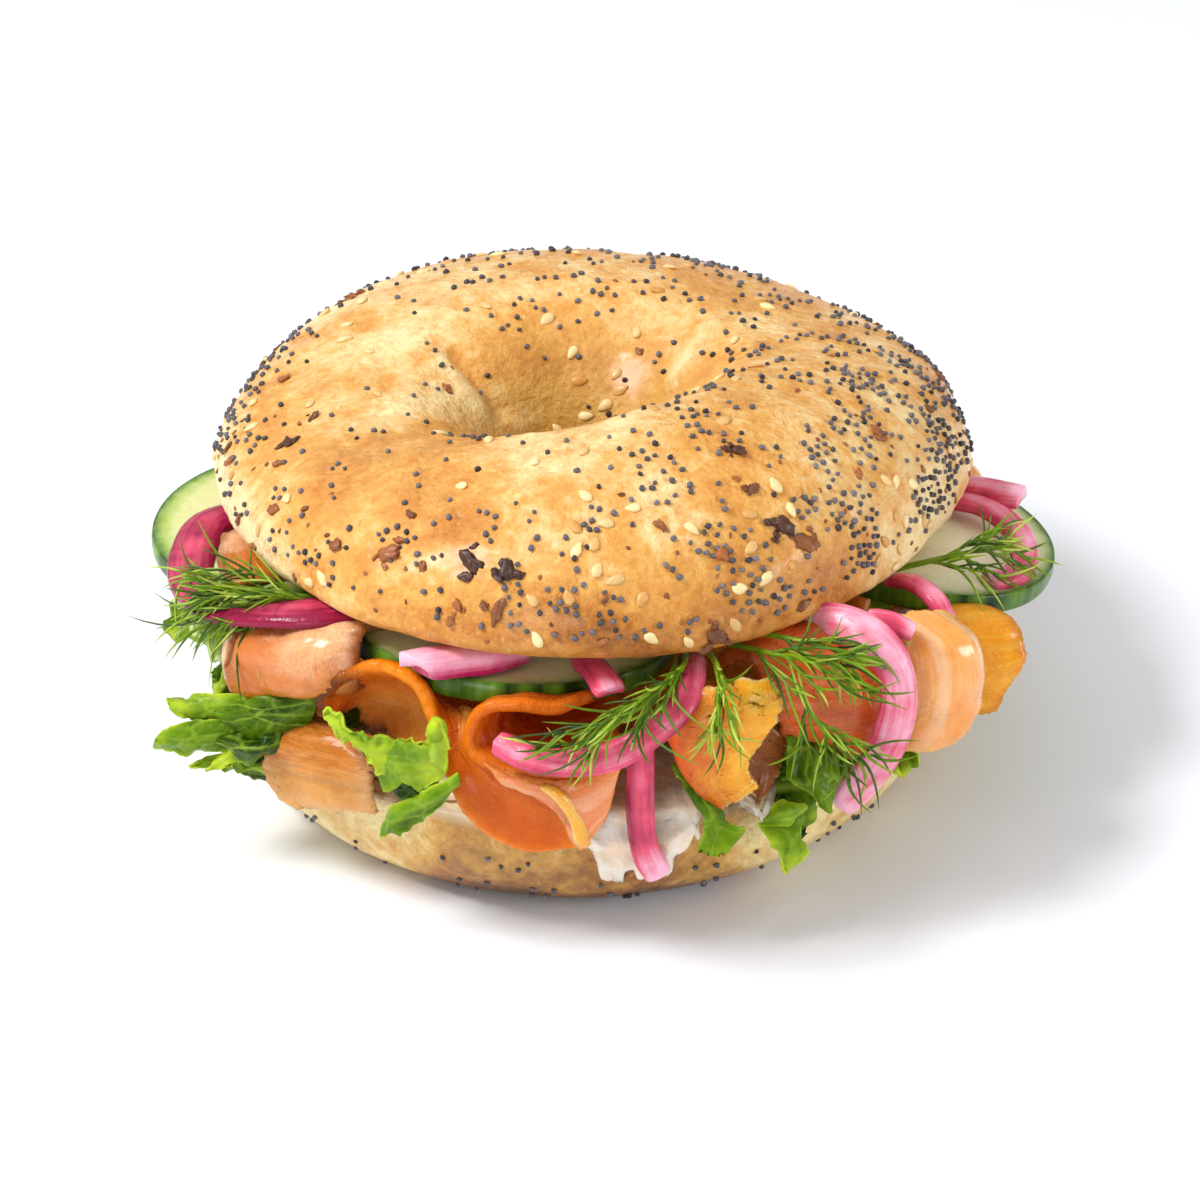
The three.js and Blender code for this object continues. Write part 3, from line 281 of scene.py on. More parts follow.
# Materials
class Look:
    """A material made of nodes round one Principled shader."""

    def __init__(self, name, **uniform):
        self.material = bpy.data.materials.new(name)
        self.material.use_nodes = True
        self.tree = self.material.node_tree
        self.shader = self.tree.nodes["Principled BSDF"]
        self.shader.inputs["Subsurface Scale"].default_value = MM
        for socket, value in uniform.items():
            self.shader.inputs[socket.replace("_", " ")].default_value = value

    def node(self, kind, inputs, **settings):
        made = self.tree.nodes.new(kind)
        for key, value in settings.items():
            setattr(made, key, value)
        for socket, value in inputs.items():
            if isinstance(value, bpy.types.NodeSocket):
                self.tree.links.new(value, made.inputs[socket])
            elif value is not None:
                made.inputs[socket].default_value = value
        return made

    def value(self, name):
        return self.node("ShaderNodeAttribute", {}, attribute_name=name).outputs["Fac"]

    def place(self, flat=False, stretch=(1, 1, 1)):
        """Coordinates in metres of the object, or of its surface in tenths of a metre."""
        source = self.node("ShaderNodeTexCoord", {}).outputs["UV" if flat else "Object"]
        return self.node("ShaderNodeMapping", {"Vector": source, "Scale": stretch}).outputs[0]

    def noise(self, size, detail=2.0, flat=False, stretch=(1, 1, 1), rough=0.5, distort=0.0):
        """Noise with features of the given size in millimetres."""
        scale = (100 if flat else 1000) / size
        inputs = {"Vector": self.place(flat, stretch), "Scale": scale, "Detail": detail,
                  "Roughness": rough, "Distortion": distort}
        return self.node("ShaderNodeTexNoise", inputs).outputs["Fac"]

    def varied(self, value, amount, *size_and_detail, **options):
        """A value with noise of that amount added round it."""
        around_zero = self.maths("SUBTRACT", self.noise(*size_and_detail, **options), 0.5)
        return self.maths("ADD", value, self.times(around_zero, amount))

    def cells(self, size):
        inputs = {"Vector": self.place(), "Scale": 1000 / size}
        return self.node("ShaderNodeTexVoronoi", inputs).outputs["Distance"]

    def seams(self, size, stretch):
        """Distance from the borders between cells of the given size on the surface."""
        inputs = {"Vector": self.place(True, stretch), "Scale": 100 / size}
        return self.node("ShaderNodeTexVoronoi", inputs, feature="DISTANCE_TO_EDGE").outputs["Distance"]

    def bands(self, size):
        """Wavy bands across the surface, that far apart in millimetres."""
        inputs = {"Vector": self.place(True), "Scale": 100 / size / 3.1416, "Distortion": 5, "Detail": 2,
                  "Detail Scale": 1.2}
        return self.node("ShaderNodeTexWave", inputs, bands_direction="Y").outputs["Fac"]

    def ramp(self, factor, stops):
        made = self.node("ShaderNodeValToRGB", {"Fac": factor})
        elements = made.color_ramp.elements
        while len(elements) < len(stops):
            elements.new(0.5)
        for element, (position, colour) in zip(elements, stops):
            element.position = position
            shade = colour if isinstance(colour, tuple) else (colour, colour, colour)
            element.color = (*shade, 1)
        return made.outputs["Color"]

    def step(self, factor, low, high, start=0.0, end=1.0):
        """Grey that runs from start to end between two values of a factor."""
        return self.ramp(factor, [(low, start), (high, end)])

    def patches(self, size, detail, low, high, start=0.0, **options):
        """Patches of noise, from start where it is low to 1 where it is high."""
        return self.step(self.noise(size, detail, **options), low, high, start)

    def between(self, factor, low, high, start=0.0, end=1.0):
        inputs = {"Value": factor, "From Min": low, "From Max": high, "To Min": start, "To Max": end}
        return self.node("ShaderNodeMapRange", inputs).outputs["Result"]

    def mix(self, factor, first, second):
        made = self.node("ShaderNodeMix", {}, data_type="RGBA")
        for slot_number, value in ((0, factor), (6, first), (7, second)):
            if isinstance(value, bpy.types.NodeSocket):
                self.tree.links.new(value, made.inputs[slot_number])
            else:
                made.inputs[slot_number].default_value = value if slot_number == 0 else (*value, 1)
        return made.outputs[2]

    def tint(self, colour, factor, amount, other):
        """A colour with that amount of another where the factor is 1."""
        return self.mix(self.times(factor, amount), colour, other)

    def maths(self, kind, first, second):
        return self.node("ShaderNodeMath", {0: first, 1: second}, operation=kind).outputs[0]

    def times(self, first, second):
        return self.maths("MULTIPLY", first, second)

    def rough(self, size, detail, low, high):
        """Roughness that varies from low to high with noise."""
        self.set(Roughness=self.between(self.noise(size, detail), 0.3, 0.7, low, high))

    def bump(self, *layers):
        """Bump layers of (height, strength, depth in millimetres), the coarsest first."""
        normal = None
        for height, strength, depth in layers:
            inputs = {"Height": height, "Strength": strength, "Distance": depth * MM, "Normal": normal}
            normal = self.node("ShaderNodeBump", inputs).outputs["Normal"]
        self.set(Normal=normal)

    def set(self, **sockets):
        for name, value in sockets.items():
            self.tree.links.new(value, self.shader.inputs[name.replace("_", " ")])


CRUST_PALE = (0.95, 0.73, 0.36)
CRUST_GOLD = (0.78, 0.38, 0.075)
CRUST_TAN = (0.56, 0.20, 0.020)
CRUST_BROWN = (0.30, 0.09, 0.010)
CRUST_TOAST = (0.74, 0.27, 0.035)
# Colour of the painted shade down the hole's wall
CRUST_PAINTED_SHADE = (0.52, 0.29, 0.045)
CRUMB = (0.90, 0.78, 0.54)
CRUMB_DARK = (0.80, 0.62, 0.36)


def crust_look(name, stops, gloss):
    look = Look(name, Subsurface_Weight=0.06, Subsurface_Radius=(2.0, 1.0, 0.4),
                Coat_Weight=gloss, Coat_Roughness=0.22, Specular_IOR_Level=0.35)
    # The browning value carries random browning together with painted light and shade
    total = look.varied(look.value("bake"), 1.1, 11, 4, rough=0.6)
    total = look.varied(total, 0.75, 4.5, 5, rough=0.7, distort=1.2)
    total = look.varied(total, 0.5, 1.7, 3, rough=0.65)
    colour = look.ramp(total, stops)
    colour = look.tint(colour, look.patches(0.8, 3, 0.60, 0.72, rough=0.6), 0.35, CRUST_TAN)
    large_toast = look.patches(5.5, 4, 0.5, 0.66, rough=0.65)
    small_toast = look.patches(1.0, 3, 0.40, 0.60, rough=0.7)
    colour = look.tint(colour, look.times(large_toast, small_toast), 0.5, CRUST_TOAST)
    colour = look.tint(colour, look.patches(1.3, 5, 0.58, 0.70, rough=0.75), 0.35, CRUST_PALE)
    # Painted shade: the crust darkens down the hole's wall where the shade value rises
    colour = look.tint(colour, look.value("shade"), 0.85, CRUST_PAINTED_SHADE)
    crumb_tone = look.mix(look.patches(2.4, 4, 0.3, 0.7), CRUMB, CRUMB_DARK)
    colour = look.mix(look.value("crumb"), colour, crumb_tone)
    look.set(Base_Color=colour)
    look.rough(2.2, 4, 0.34, 0.6)
    blister = look.step(look.cells(2.6), 0.16, 0.3)
    look.bump((look.noise(4.5, 3), 0.5, 0.8), (blister, 0.3, 0.25),
              (look.cells(1.3), 0.4, 0.4), (look.noise(0.8, 4, rough=0.65), 0.9, 0.45))
    return look.material


TOP_CRUST = crust_look("crust_top", [(0.0, CRUST_PALE), (0.40, CRUST_GOLD), (0.74, CRUST_TAN),
                                     (1.0, CRUST_BROWN)], 0.32)
# The base's darkest stops carry the painted shade at its front and foot
BASE_CRUST = crust_look("crust_base", [(0.0, (0.95, 0.78, 0.37)), (0.40, (0.66, 0.36, 0.075)),
                                       (0.75, (0.34, 0.145, 0.034)), (1.0, (0.16, 0.06, 0.015))], 0.3)


def seed_look(name, dark, light, rough, bump_size, sub=0.0):
    look = Look(name, Subsurface_Weight=sub, Subsurface_Radius=(1.2, 0.8, 0.4))
    tone = look.varied(look.value("tone"), 0.4, 0.8, 2)
    look.set(Base_Color=look.ramp(tone, [(0.0, dark), (1.0, light)]))
    look.shader.inputs["Roughness"].default_value = rough
    look.bump((look.noise(bump_size, 2), 0.5, 0.1))
    return look.material


POPPY = seed_look("poppy_seed", (0.022, 0.02, 0.028), (0.17, 0.16, 0.19), 0.55, 0.22)
SESAME = seed_look("sesame_seed", (0.62, 0.28, 0.05), (0.92, 0.72, 0.36), 0.34, 0.6, 0.1)
FLAKE = seed_look("toasted_flake", (0.045, 0.014, 0.008), (0.42, 0.13, 0.03), 0.42, 0.7, 0.1)


def cucumber_look():
    look = Look("cucumber", Subsurface_Weight=0.12, Subsurface_Radius=(2, 2.6, 0.8),
                Coat_Weight=0.1, Coat_Roughness=0.12, Specular_IOR_Level=0.25)
    radial = look.varied(look.value("radial"), 0.05, 5, 3)
    flesh = look.ramp(radial, [
        (0.0, (0.46, 0.50, 0.15)), (0.5, (0.56, 0.58, 0.22)), (0.62, (0.70, 0.68, 0.33)),
        (0.84, (0.62, 0.64, 0.26)), (0.92, (0.34, 0.48, 0.07)), (0.975, (0.08, 0.20, 0.008)),
    ])
    # Painted light: each slice's value mixes its flesh toward pale cream, strongest on the slices that lie in
    # shade
    bright = look.times(look.value("bright"), look.between(radial, 0.98, 0.84))
    flesh = look.mix(bright, flesh, (0.93, 0.88, 0.60))
    flesh = look.tint(flesh, look.patches(1.6, 4, 0.35, 0.75, rough=0.7), 0.22, (0.84, 0.88, 0.62))
    stripe = look.patches(4.2, 3, 0.40, 0.62, flat=True, stretch=(1, 0.1, 1))
    rind = look.mix(stripe, (0.010, 0.040, 0.003), (0.11, 0.24, 0.010))
    look.set(Base_Color=look.mix(look.value("rind"), flesh, rind))
    look.rough(2.5, 2, 0.16, 0.36)
    look.bump((look.noise(2.2, 3), 0.25, 0.4), (look.noise(0.5, 2), 0.15, 0.1))
    return look.material


CUCUMBER = cucumber_look()


def onion_look(name, strong, pale, white):
    """Pink onion: white within, pink skin, darker lines along its length."""
    look = Look(name, Subsurface_Weight=0.15, Subsurface_Radius=(2.5, 0.8, 1.0),
                Coat_Weight=0.12, Coat_Roughness=0.1, Specular_IOR_Level=0.25)
    drawn = {"flat": True, "stretch": (0.06, 1, 1), "rough": 0.6}
    skin = look.varied(look.value("skin"), 1.1, 5, 3)
    skin = look.varied(skin, 1.2, 1.5, 3, **drawn)
    look.set(Base_Color=look.ramp(skin, [(0.0, white), (0.5, pale), (1.0, strong)]))
    look.rough(5, 3, 0.12, 0.3)
    look.bump((look.noise(1.5, 3, **drawn), 0.4, 0.3), (look.noise(0.9, 3, rough=0.65), 0.6, 0.28))
    return look.material


PINK_ONION = onion_look("onion_pink", (0.28, 0.006, 0.048), (0.76, 0.085, 0.17), (0.92, 0.46, 0.60))
WHITE_ONION = onion_look("onion_pale", (0.48, 0.006, 0.10), (0.78, 0.16, 0.30), (0.92, 0.48, 0.60))


def salmon_look(name, flesh, deep, rim, fat, lines=0.25, rim_share=0.8, speckle=0.0,
                spacing=5.5, shine=0.5, across=False, grain_size=1.0, grain_mix=0.45, changes=(), crisp=None,
                border=None):
    """Smoked salmon: flesh with pale fat lines, a fine grain, wet sparkles and a dried rim."""
    look = Look(name, Subsurface_Weight=0.3, Subsurface_Radius=(4, 1.2, 0.3),
                Coat_Weight=shine, Coat_Roughness=0.2, Specular_IOR_Level=0.10)
    colour = look.mix(look.patches(9, 4, 0.3, 0.72, rough=0.55), flesh, deep)
    stretch = (1.5, 0.14, 1) if across else (0.14, 1.5, 1)
    grain = look.noise(grain_size, 4, flat=True, stretch=stretch, rough=0.65)
    colour = look.tint(colour, look.between(grain, 0.42, 0.72), grain_mix, deep)
    colour = look.tint(colour, look.between(grain, 0.5, 0.3), 0.25, fat)
    fat_lines = look.times(look.step(look.bands(spacing), 0.72, 0.95), look.patches(13, 2, 0.35, 0.65, 0.25))
    colour = look.tint(colour, fat_lines, lines, fat)
    for key, tint, start, end in changes:
        place = look.varied(look.value(key), 0.4, 4, 3)
        colour = look.mix(look.between(place, start, end, 0.0, 0.85), colour, tint)
    edge = look.between(look.varied(look.value("edge"), 0.5, 2, 4), 0.25, 0.9, 0.0, rim_share)
    if crisp:
        rim = look.mix(look.between(look.value("along"), 0.30, 0.18), crisp, rim)
    if border:
        band = look.step(look.value("edge"), 0.6, 0.8)
        colour = look.mix(look.times(band, look.patches(2.2, 3, 0.42, 0.58)), colour, border)
        crumbly = look.between(look.noise(1.2, 3), 0.45, 0.55)
        edge = look.times(look.step(look.value("edge"), 0.72, 0.9), crumbly)
    colour = look.mix(edge, colour, rim)
    if speckle:
        spots = look.patches(1.1, 4, 0.52, 0.68, rough=0.8)
        colour = look.tint(colour, look.times(spots, edge), speckle, rim)
    look.set(Base_Color=colour)
    look.rough(1.4, 3, 0.18, 0.4)
    sparkle = look.times(look.noise(0.8, 3, rough=0.7), look.patches(6, 3, 0.38, 0.58, 0.25))
    look.bump((look.noise(4, 3), 0.5, 0.8), (grain, 0.5, 0.3), (sparkle, 0.9, 0.6))
    return look.material


def leaf_look(name, dark, mid, light, vein):
    """Lettuce: glossy, lighter along its veins, with the painted light and shade on its folds that its tone
    carries.
    """
    look = Look(name, Subsurface_Weight=0.1, Subsurface_Radius=(0.8, 1.6, 0.3),
                Coat_Weight=0.045, Coat_Roughness=0.1, Specular_IOR_Level=0.08)
    tone = look.varied(look.value("tone"), 0.8, 4.5, 4)
    colour = look.ramp(tone, [(0.0, dark), (0.5, mid), (1.0, light)])
    seams = look.seams(4.6, (0.55, 1, 1))
    net = look.times(look.step(seams, 0.0, 0.07, 1.0, 0.0), look.patches(6, 2, 0.35, 0.6, 0.2))
    fine_net = look.step(look.seams(1.8, (0.7, 1, 1)), 0.0, 0.1, 1.0, 0.0)
    for veins, amount in ((net, 0.55), (fine_net, 0.14), (look.value("rib"), 0.7)):
        colour = look.tint(colour, veins, amount, vein)
    look.set(Base_Color=colour)
    look.rough(2, 3, 0.2, 0.42)
    look.bump((look.between(seams, 0.0, 0.3), 0.35, 0.5), (look.noise(2.6, 3), 0.35, 0.4),
              (look.noise(0.9, 3), 0.35, 0.18))
    return look.material


LEAF = leaf_look("lettuce", (0.010, 0.040, 0.001), (0.12, 0.235, 0.003), (0.50, 0.62, 0.03),
                 (0.32, 0.46, 0.04))
# A lighter copy of the lettuce for the leaf behind: partly a paler leaf and partly painted light against the
# top half's shadow
PALE_PAINTED_LIGHT_LEAF = leaf_look("lettuce_pale_painted_light", (0.14, 0.24, 0.045), (0.36, 0.50, 0.15), (0.58, 0.70, 0.28),
                      (0.46, 0.60, 0.26))


def dill_look():
    look = Look("dill", Subsurface_Weight=0.1, Subsurface_Radius=(0.6, 1.0, 0.3),
                Coat_Weight=0.05, Coat_Roughness=0.3, Specular_IOR_Level=0.25)
    tone = look.varied(look.value("tone"), 0.5, 2.5, 2)
    look.set(Base_Color=look.ramp(tone, [(0.0, (0.012, 0.036, 0.001)), (0.4, (0.06, 0.13, 0.002)),
                                         (0.75, (0.20, 0.33, 0.006)), (1.0, (0.46, 0.58, 0.08))]))
    look.shader.inputs["Roughness"].default_value = 0.38
    look.bump((look.noise(0.4, 2), 0.3, 0.06))
    return look.material


DILL = dill_look()


def cream_look():
    look = Look("cream_cheese", Subsurface_Weight=0.35, Subsurface_Radius=(3, 1.8, 1.2),
                Coat_Weight=0.15, Coat_Roughness=0.15)
    # Painted shade and reflection: noise patches tint the cream peach, standing for warm shading and the
    # salmon's colour thrown onto it
    colour = look.mix(look.between(look.noise(3, 3), 0.35, 0.7), (0.98, 0.88, 0.76), (0.96, 0.70, 0.48))
    look.set(Base_Color=colour)
    look.rough(1.5, 3, 0.3, 0.55)
    look.bump((look.noise(2.6, 3, rough=0.55), 0.7, 0.9), (look.noise(0.8, 3), 0.4, 0.25))
    return look.material


CREAM = cream_look()


# Top half of the bagel
TOP = {
    "place": [-0.2, 4.7, 37.1], "pitch": -6.83, "roll": 0.95, "radius": 58, "cut_radius": 50.2,
    "equator": 3.4, "height": 22.6, "hole": [-2.1, -7], "hole_radius": 10.2, "wall_foot": 4, "crest": 0.35,
    "round_out": 2.14, "round_in": 1.6,
}


def crown_rim(a):
    wave = (1 - 0.044 * np.cos(2 * a) + 0.005 * np.sin(2 * a) + 0.013 * np.cos(3 * a)
            + 0.026 * np.sin(3 * a) + 0.004 * np.cos(4 * a) + 0.007 * np.sin(4 * a))
    return TOP["radius"] * wave[..., None] * np.stack([np.cos(a), np.sin(a)], -1)


def hole_edge(a, radius):
    return np.array(TOP["hole"]) + radius * np.stack([np.cos(a), np.sin(a)], -1)


def crown_point(a, share):
    """Points of the crust: share 0 is the rim, 0.5 the crest and 1 the foot of the hole's wall."""
    a, share = np.broadcast_arrays(np.asarray(a, float), np.asarray(share, float))
    rim = crown_rim(a)
    hole = hole_edge(a, TOP["hole_radius"])
    crest = lerp(hole, rim, TOP["crest"])
    high = TOP["height"] * (1 + 0.137 * np.cos(a) + 0.031 * np.sin(a)
                            - 0.087 * np.cos(2 * a) - 0.065 * np.sin(2 * a))
    outside = share <= 0.5
    turn = np.pi * np.where(outside, share, 1 - share)
    power = 2 / np.where(outside, TOP["round_out"], TOP["round_in"])
    foot = np.where(outside, TOP["equator"], TOP["wall_foot"])
    across = np.clip(np.cos(turn), 0, 1) ** power
    rise = np.clip(np.sin(turn), 0, 1) ** power
    flat = lerp(crest, np.where(outside[..., None], rim, hole), across[..., None])
    return np.concatenate([flat, (foot + (high - foot) * rise)[..., None]], -1)


def turned(points, x_degrees, y_degrees):
    """Points turned about X after Y."""
    x, y = np.radians([x_degrees, y_degrees])
    about_x = np.array([[1, 0, 0], [0, np.cos(x), -np.sin(x)], [0, np.sin(x), np.cos(x)]])
    about_y = np.array([[np.cos(y), 0, np.sin(y)], [0, 1, 0], [-np.sin(y), 0, np.cos(y)]])
    return points @ (about_x @ about_y).T


def placed_top(points):
    return turned(points, TOP["pitch"], TOP["roll"]) + np.array(TOP["place"])


TOP_TURNS = 400
CUT_ROWS = 11
ROLL_ROWS = 8
CRUST_ROWS = 150


def top_grid():
    """Rows round the top half (cut face, rolled rim, crust, hole wall) and the crust's share of each."""
    a = np.arange(TOP_TURNS) / TOP_TURNS * 2 * np.pi
    rim = crown_rim(a)
    inner = hole_edge(a, TOP["hole_radius"] + 1)
    rows = []
    shares = []
    outer = rim * TOP["cut_radius"] / TOP["radius"]
    for t in np.linspace(0, 1, CUT_ROWS + 1)[:-1]:
        flat = lerp(inner, outer, t)
        rows.append(np.concatenate([flat, np.zeros((TOP_TURNS, 1))], -1))
        shares.append(-0.3)
    for t in np.linspace(0, 1, ROLL_ROWS + 1)[:-1]:
        turn = t * np.pi / 2
        reach = (TOP["cut_radius"] + (TOP["radius"] - TOP["cut_radius"]) * np.sin(turn)) / TOP["radius"]
        height = np.full((TOP_TURNS, 1), TOP["equator"] * (1 - np.cos(turn)))
        rows.append(np.concatenate([rim * reach, height], -1))
        shares.append(-0.1 * (1 - t))
    for share in np.linspace(0, 1, CRUST_ROWS):
        rows.append(crown_point(a, share))
        shares.append(share)
    foot = crown_point(a, 1)
    for t in (0.34, 0.67):
        rows.append(np.concatenate([lerp(foot[:, :2], inner, t), foot[:, 2:] * (1 - t)], -1))
        shares.append(1.0)
    return a, np.array(shares), np.stack(rows, 1)


# Folds of the crust by the hole, each from one place in the picture to another:
# width and height in millimetres (a crease is below 0) and how pale it is: paler is stretched dough, with a
# painted highlight on the right ridge, and below 0 is painted shade in a crease
FOLDS = {
    "left_crease": {"from": (446, 348), "to": (508, 424), "width": 1.7, "height": -1.5, "pale": -0.4},
    "left_band": {"from": (430, 352), "to": (490, 424), "width": 2.2, "height": 0.6, "pale": 0.6},
    "right_ridge": {"from": (724, 318), "to": (668, 398), "width": 1.9, "height": 1.2, "pale": 0.8},
    "right_crease": {"from": (735, 352), "to": (690, 392), "width": 1.6, "height": -0.5, "pale": -0.1},
    "back_crease": {"from": (520, 330), "to": (600, 300), "width": 2.0, "height": -0.35, "pale": 0.0},
    "front_dent": {"from": (400, 470), "to": (470, 498), "width": 3.4, "height": -0.4, "pale": 0.0},
}


def seen_on(tree, spot):
    """Where the line of sight through a place in the picture meets the crust."""
    return np.array(tree.ray_cast(Vector(EYE), Vector(sight(*spot)))[0])


def bagel_top():
    """The crust's displaced points and normals, the top half's part, and a tree for lines of sight."""
    a, shares, level = top_grid()
    grid = placed_top(level)
    normals = grid_normals(grid, (True, False))
    ids = np.arange(grid[..., 0].size).reshape(grid.shape[:2])
    tree = BVHTree.FromPolygons(grid.reshape(-1, 3).tolist(), triangles_of(ids, (True, True)).tolist())
    crust = smooth(shares, -0.12, 0.0)[None, :]
    lumps = 0.5 * noise(level, 17, 3) + 0.22 * noise(level, 7, 4) + 0.13 * fractal(level, 2.8, 2, 5)
    stretch = level * np.array([1, 1, 0.35])
    wall = smooth(shares, 0.5, 0.75)[None, :]
    lumps = lumps * (1 - 0.5 * wall) + 0.06 * wall * noise(stretch, 2.8, 8)
    blister = np.maximum(0, noise(level, 3.1, 12) - 0.45) * 0.5
    height = crust * (lumps + blister) + (1 - crust) * 0.12 * fractal(level, 1.4, 2, 6)
    azimuth = a[:, None]
    share = shares[None, :]
    left = -np.cos(azimuth)
    low = smooth(-share, -0.20, -0.02)
    # Browning with painted light and shade: paler on the left of the crown and at the rim's sides, painted
    # light, and browner low at the front, painted shade; the noise is random browning
    bake = (0.38 - 0.10 * smooth(-np.cos(azimuth - 0.2), 0.1, 1.0) * smooth(share, 0.1, 0.5)
            + 0.36 * low * smooth(-np.sin(azimuth), 0.4, 0.97) - 0.25 * low * smooth(left, 0.5, 0.95)
            - 0.30 * smooth(-share, -0.17, -0.02) * smooth(np.abs(left), 0.5, 0.95)
            - 0.04 * smooth(share, 0.52, 0.72)
            - 0.30 * smooth(-share, -0.02, 0.1)
            + 0.22 * noise(level, 26, 21) + 0.12 * noise(level, 9, 22))
    for fold in FOLDS.values():
        start, end = (seen_on(tree, fold[key]) for key in ("from", "to"))
        along = end - start
        t = np.clip(((grid - start) @ along) / (along @ along), 0, 1)
        away = np.linalg.norm(grid - start - t[..., None] * along, axis=-1)
        near = np.exp(-(away / fold["width"]) ** 2) * smooth(t, -0.05, 0.2) * (1 - smooth(t, 0.8, 1.05))
        height = height + fold["height"] * near
        # Paler along stretched folds; on the right ridge this is a painted highlight, and a crease's
        # darkening is painted shade
        bake = bake - 0.5 * fold["pale"] * near
    grid = grid + normals * height[..., None]
    normals = grid_normals(grid, (True, False))
    crumb = smooth(-shares, 0.04, 0.1)[None, :]
    # Painted shade: rises down the hole's wall toward its foot
    deep = smooth(share, 0.57, 0.95) * (0.8 + 0.2 * noise(level, 6, 25))
    part = outward(part_of(grid, (True, True), bake=bake, crumb=crumb, shade=deep))
    first = CUT_ROWS + ROLL_ROWS
    rows = slice(first, first + CRUST_ROWS)
    return grid[:, rows], normals[:, rows], part, tree


crown, crown_normals, top_part, top_tree = bagel_top()
if crown_normals[0, CRUST_ROWS // 2, 2] < 0:
    crown_normals = -crown_normals
piece("bread_top_look", top_part, TOP_CRUST, ["bagel_top"])


# Bottom half of the bagel
BOTTOM = {"radius": 54, "base_radius": 43.8, "equator": 11.8, "cut": 16.7, "cut_radius": 53.2,
          "hole_low": 12.5, "hole_high": 14.5}
BOTTOM_TURNS = 320
UNDER_ROWS = 15
FLANK_ROWS = 46


def bagel_bottom():
    b = BOTTOM
    a = np.arange(BOTTOM_TURNS) / BOTTOM_TURNS * 2 * np.pi
    profile = [(r, 0.0, 0) for r in np.linspace(b["hole_low"] + 1.5, b["base_radius"], UNDER_ROWS + 1)[:-1]]
    for turn in np.linspace(0, np.pi / 2, FLANK_ROWS):
        profile.append((b["base_radius"] + (b["radius"] - b["base_radius"]) * np.sin(turn),
                        b["equator"] * (1 - np.cos(turn)), 1))
    for t in (0.34, 0.67, 1.0):
        profile.append((lerp(b["radius"], b["cut_radius"], t), lerp(b["equator"], b["cut"], t), 1 - t ** 4))
    profile += [(r, b["cut"], 0) for r in np.linspace(b["cut_radius"], b["hole_high"], 20)[1:]]
    profile += [(b["hole_low"] + 0.6, b["cut"] * 0.75, 1), (b["hole_low"], b["cut"] / 2, 1),
                (b["hole_low"] + 0.5, b["cut"] * 0.2, 1)]
    radius, height, crust = np.array(profile).T
    across = radius[None, :, None] * bottom_oval(a)[:, None, None]
    flat = across * np.stack([np.cos(a), np.sin(a)], -1)[:, None, :]
    grid = np.concatenate([flat, np.broadcast_to(height[None, :, None], (*flat.shape[:2], 1))], -1)
    normals = grid_normals(grid, (True, True))
    if normals[0, UNDER_ROWS + FLANK_ROWS - 2, 0] < 0:
        normals = -normals
    bumps = 0.28 * noise(grid, 13, 41) + 0.14 * noise(grid, 5, 42) + 0.05 * fractal(grid, 2, 2, 43)
    inner = smooth(height, 0.2, 3.0)
    grid = grid + normals * (bumps * inner)[..., None]
    grid[..., 2] = np.maximum(grid[..., 2], 0)
    foot = 1 - smooth(height, 1.0, 6.0)
    azimuth = a[:, None]
    front = smooth(-np.sin(azimuth), 0.82, 1.0)
    under = 1 - smooth(height, 0.5, 5.5)
    # Darker toward the front, partly browner crust and partly painted shade, and darkest at the foot, a
    # painted contact shadow; paler higher up the flank; the noise is random browning
    bake = (0.13 + (0.08 + 0.25 * front) * foot[None, :] + 0.64 * front + 0.6 * front * under[None, :]
            - 0.18 * smooth(height, 8, 13)[None, :] + 0.18 * noise(grid, 15, 44) + 0.08 * noise(grid, 4, 45))
    crumb = np.where(height >= b["cut"] - 0.01, 1.0, 0.0)
    part = outward(part_of(grid, (True, True), bake=bake, crumb=crumb, shade=0.0))
    flank_rows = slice(UNDER_ROWS, UNDER_ROWS + FLANK_ROWS)
    return grid[:, flank_rows], normals[:, flank_rows], part


flank, flank_normals, bottom_part = bagel_bottom()
piece("bread_bottom_look", bottom_part, BASE_CRUST, ["bagel_bottom"])


# Seeds and flakes baked onto the crust
def ball(level):
    """Points and triangles of an evenly divided unit ball."""
    mesh = bmesh.new()
    bmesh.ops.create_icosphere(mesh, subdivisions=level, radius=1)
    points = np.array([v.co for v in mesh.verts])
    faces = np.array([[v.index for v in face.verts] for face in mesh.faces])
    mesh.free()
    return points, faces


def spaced(places, apart, taken=()):
    """Numbers of the places that keep that distance from the ones kept before them."""
    cells = {}
    kept = []

    def near(point):
        cell = np.floor(point / apart).astype(int)
        for step in np.ndindex(3, 3, 3):
            for other in cells.get(tuple(cell + np.array(step) - 1), ()):
                if ((other - point) ** 2).sum() < apart ** 2:
                    return True
        return False

    for point in taken:
        cells.setdefault(tuple(np.floor(point / apart).astype(int)), []).append(point)
    for number, point in enumerate(places):
        if near(point):
            continue
        cells.setdefault(tuple(np.floor(point / apart).astype(int)), []).append(point)
        kept.append(number)
    return np.array(kept, int)


